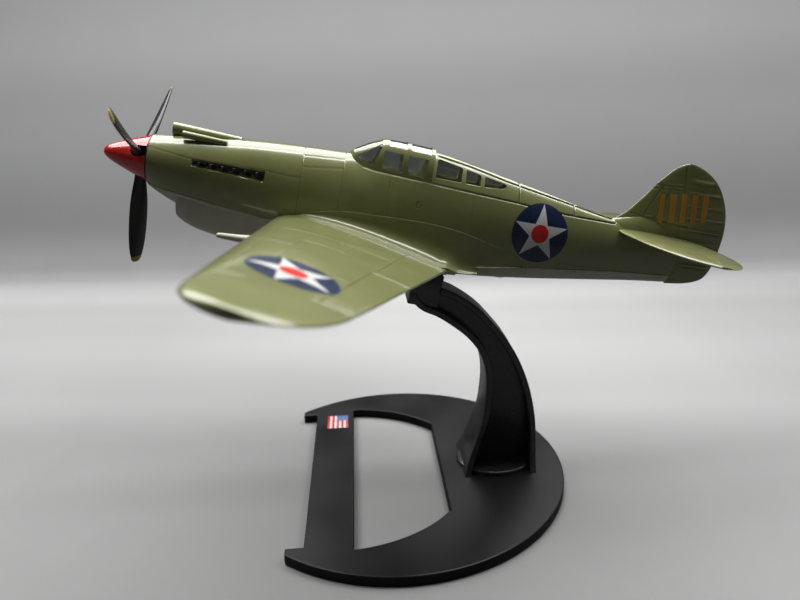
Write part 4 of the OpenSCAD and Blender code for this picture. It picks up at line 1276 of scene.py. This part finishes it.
def backdrop_material():
    """Node distances here are in metres."""
    material, g, shader, output = new_material("backdrop")
    geometry = g.node("NewGeometry")
    x, y, z = g.node("SeparateXYZ", {0: geometry.outputs["Position"]}).outputs
    camera_ray = g.node("LightPath").outputs["Is Camera Ray"]
    # floor: painted light and shade by depth, brighter beyond the middle, a painted pool of light
    # in the middle that lifts the model's shadow, dimmer to the right
    depth = g.math("ADD", y, g.math("MULTIPLY", g.math("ADD", x, .015), .1317))
    floor = grey_ramp(g, g.remap(depth, (-.1, .235), (0, 1)), FLOOR_STOPS)
    from_middle = g.math("ABSOLUTE", g.math("ADD", x, -.03), 0.0)
    gain = g.math("MULTIPLY", g.remap(from_middle, (.05, .14), (1.25, 1.0)),
                  g.remap(x, (0, .10), (1.0, .86)))
    floor = g.node("VectorMath", {0: floor, "Scale": gain}, operation="SCALE").outputs[0]
    on_wall = g.remap(z, (.0002, .004), (0, 1))
    c = g.mix(on_wall, floor, (.02, .02, .02))
    mottle = g.noise(g.node("TexCoord").outputs["Object"], scale=60)
    c = g.mix(g.remap(mottle, (.3, .7), (0, .05)), c, (.4, .4, .4))
    # the camera sees the painted floor; other rays see it dark
    c = g.mix(camera_ray, (.07, .07, .07), c)
    # wall: glows by height, falling off to the sides, weaker for other rays
    side = g.math("DIVIDE", x, .19)
    fall = g.math("MULTIPLY", g.math("MULTIPLY", side, side),
                  g.remap(z, (.02, .12), (.03, .24)))
    dim = g.math("MAXIMUM", g.math("SUBTRACT", 1.0, fall), .35)
    share = g.math("ADD", g.math("MULTIPLY", camera_ray, .87), .13)
    g.feed(shader, {
        "Base Color": c, "Roughness": .6, "Specular IOR Level": .2,
        "Emission Color": grey_ramp(g, g.remap(z, (0, .30), (0, 1)), WALL_STOPS),
        "Emission Strength": g.math("MULTIPLY", g.math("MULTIPLY", on_wall, dim), share)})
    # the faces point down and outwards; from that side the camera looks through
    front = g.math("SUBTRACT", 1.0, geometry.outputs["Backfacing"])
    clear = g.node("BsdfTransparent").outputs[0]
    both = g.node("MixShader", {0: g.math("MULTIPLY", camera_ray, front),
                                1: shader.outputs[0], 2: clear})
    g.feed(output, {"Surface": both.outputs[0]})
    return material


def build_backdrop():
    """Floor that curves up into a wall, turned about a point at the foot of the curve."""
    bend_y, radius, pivot_x = 143, 30, -15
    profile = [(-900, 0)]+[(bend_y-8*(10-i), 0) for i in range(10)]
    profile += [(bend_y+radius*math.sin(a), radius-radius*math.cos(a))
                for a in (math.radians(t) for t in range(0, 91, 6))]
    profile += [(bend_y+radius, 168)]
    c, s = math.cos(math.radians(7.5)), math.sin(math.radians(7.5))
    verts = [((pivot_x+(x-pivot_x)*c+(y-bend_y)*s)*MM,
              (bend_y-(x-pivot_x)*s+(y-bend_y)*c)*MM, z*MM)
             for x in (-1100, 1100) for y, z in profile]
    k = len(profile)
    mesh = bpy.data.meshes.new("floor")
    mesh.from_pydata(verts, [], [(i, i+1, k+i+1, k+i) for i in range(k-1)])
    for face in mesh.polygons:
        face.use_smooth = True
    floor = link("studio_floor", mesh)
    mesh.materials.append(backdrop_material())


def area(name, location, target, size, power, color, size_y=None):
    """Area light, in metres and watts."""
    light = bpy.data.lights.new(name, "AREA")
    light.energy, light.size, light.color = power, size, color
    if size_y:
        light.shape = "RECTANGLE"
        light.size_y = size_y
    obj = link(name, light)
    obj.location = location
    aim = Vector(target)-Vector(location)
    obj.rotation_euler = aim.to_track_quat("-Z", "Y").to_euler()


def build_world():
    world = bpy.data.worlds.new("w")
    bpy.context.scene.world = world
    world.use_nodes = True
    g = Graph(world.node_tree)
    seen = g.math("MULTIPLY", g.node("LightPath").outputs["Is Camera Ray"], .5)
    g.feed(g.tree.nodes["Background"], {0: (.82, .84, .86), 1: g.math("ADD", .038, seen)})


def build_camera():
    yaw, pitch, roll = (math.radians(angle) for angle in (3.13, 18.05, -2.13))
    focus = .150
    eye = np.array([-29.86, -144.49, 91.78])*MM
    view = np.array([math.sin(yaw)*math.cos(pitch), math.cos(yaw)*math.cos(pitch),
                     -math.sin(pitch)])
    level = np.array([math.cos(yaw), -math.sin(yaw), 0.])
    upright = np.cross(level, view)
    right = math.cos(roll)*level+math.sin(roll)*upright
    up = -math.sin(roll)*level+math.cos(roll)*upright
    data = bpy.data.cameras.new("camera")
    camera = link("camera", data)
    data.sensor_width, data.lens = 36, 30.3615
    data.clip_start, data.clip_end = .005, 20
    axes = np.column_stack([right, up, -view, eye])
    camera.matrix_world = Matrix(axes.tolist()+[[0, 0, 0, 1]])
    bpy.context.scene.camera = camera
    data.dof.use_dof = True
    data.dof.focus_distance = focus
    data.dof.aperture_fstop = 20
    # keeps the focus on the model from any side
    target = link("focus_point", None)
    target.location = eye+view*focus
    data.dof.focus_object = target


build_backdrop()
area("overhead", (-.01, .36, .72), (-.01, .36, 0), size=1.5, power=22.0,
     color=(1, .998, .985), size_y=.8)
area("strip", (-.01, .015, .55), (-.01, .015, .08), size=1.1, power=1.2,
     color=(1, .998, .985), size_y=.04)
area("front_left", (-.55, -.45, .40), (-.02, 0, .06), size=.25, power=.05, color=(.98, 1, 1))
build_world()
build_camera()
bpy.context.scene.view_settings.view_transform = "Standard"
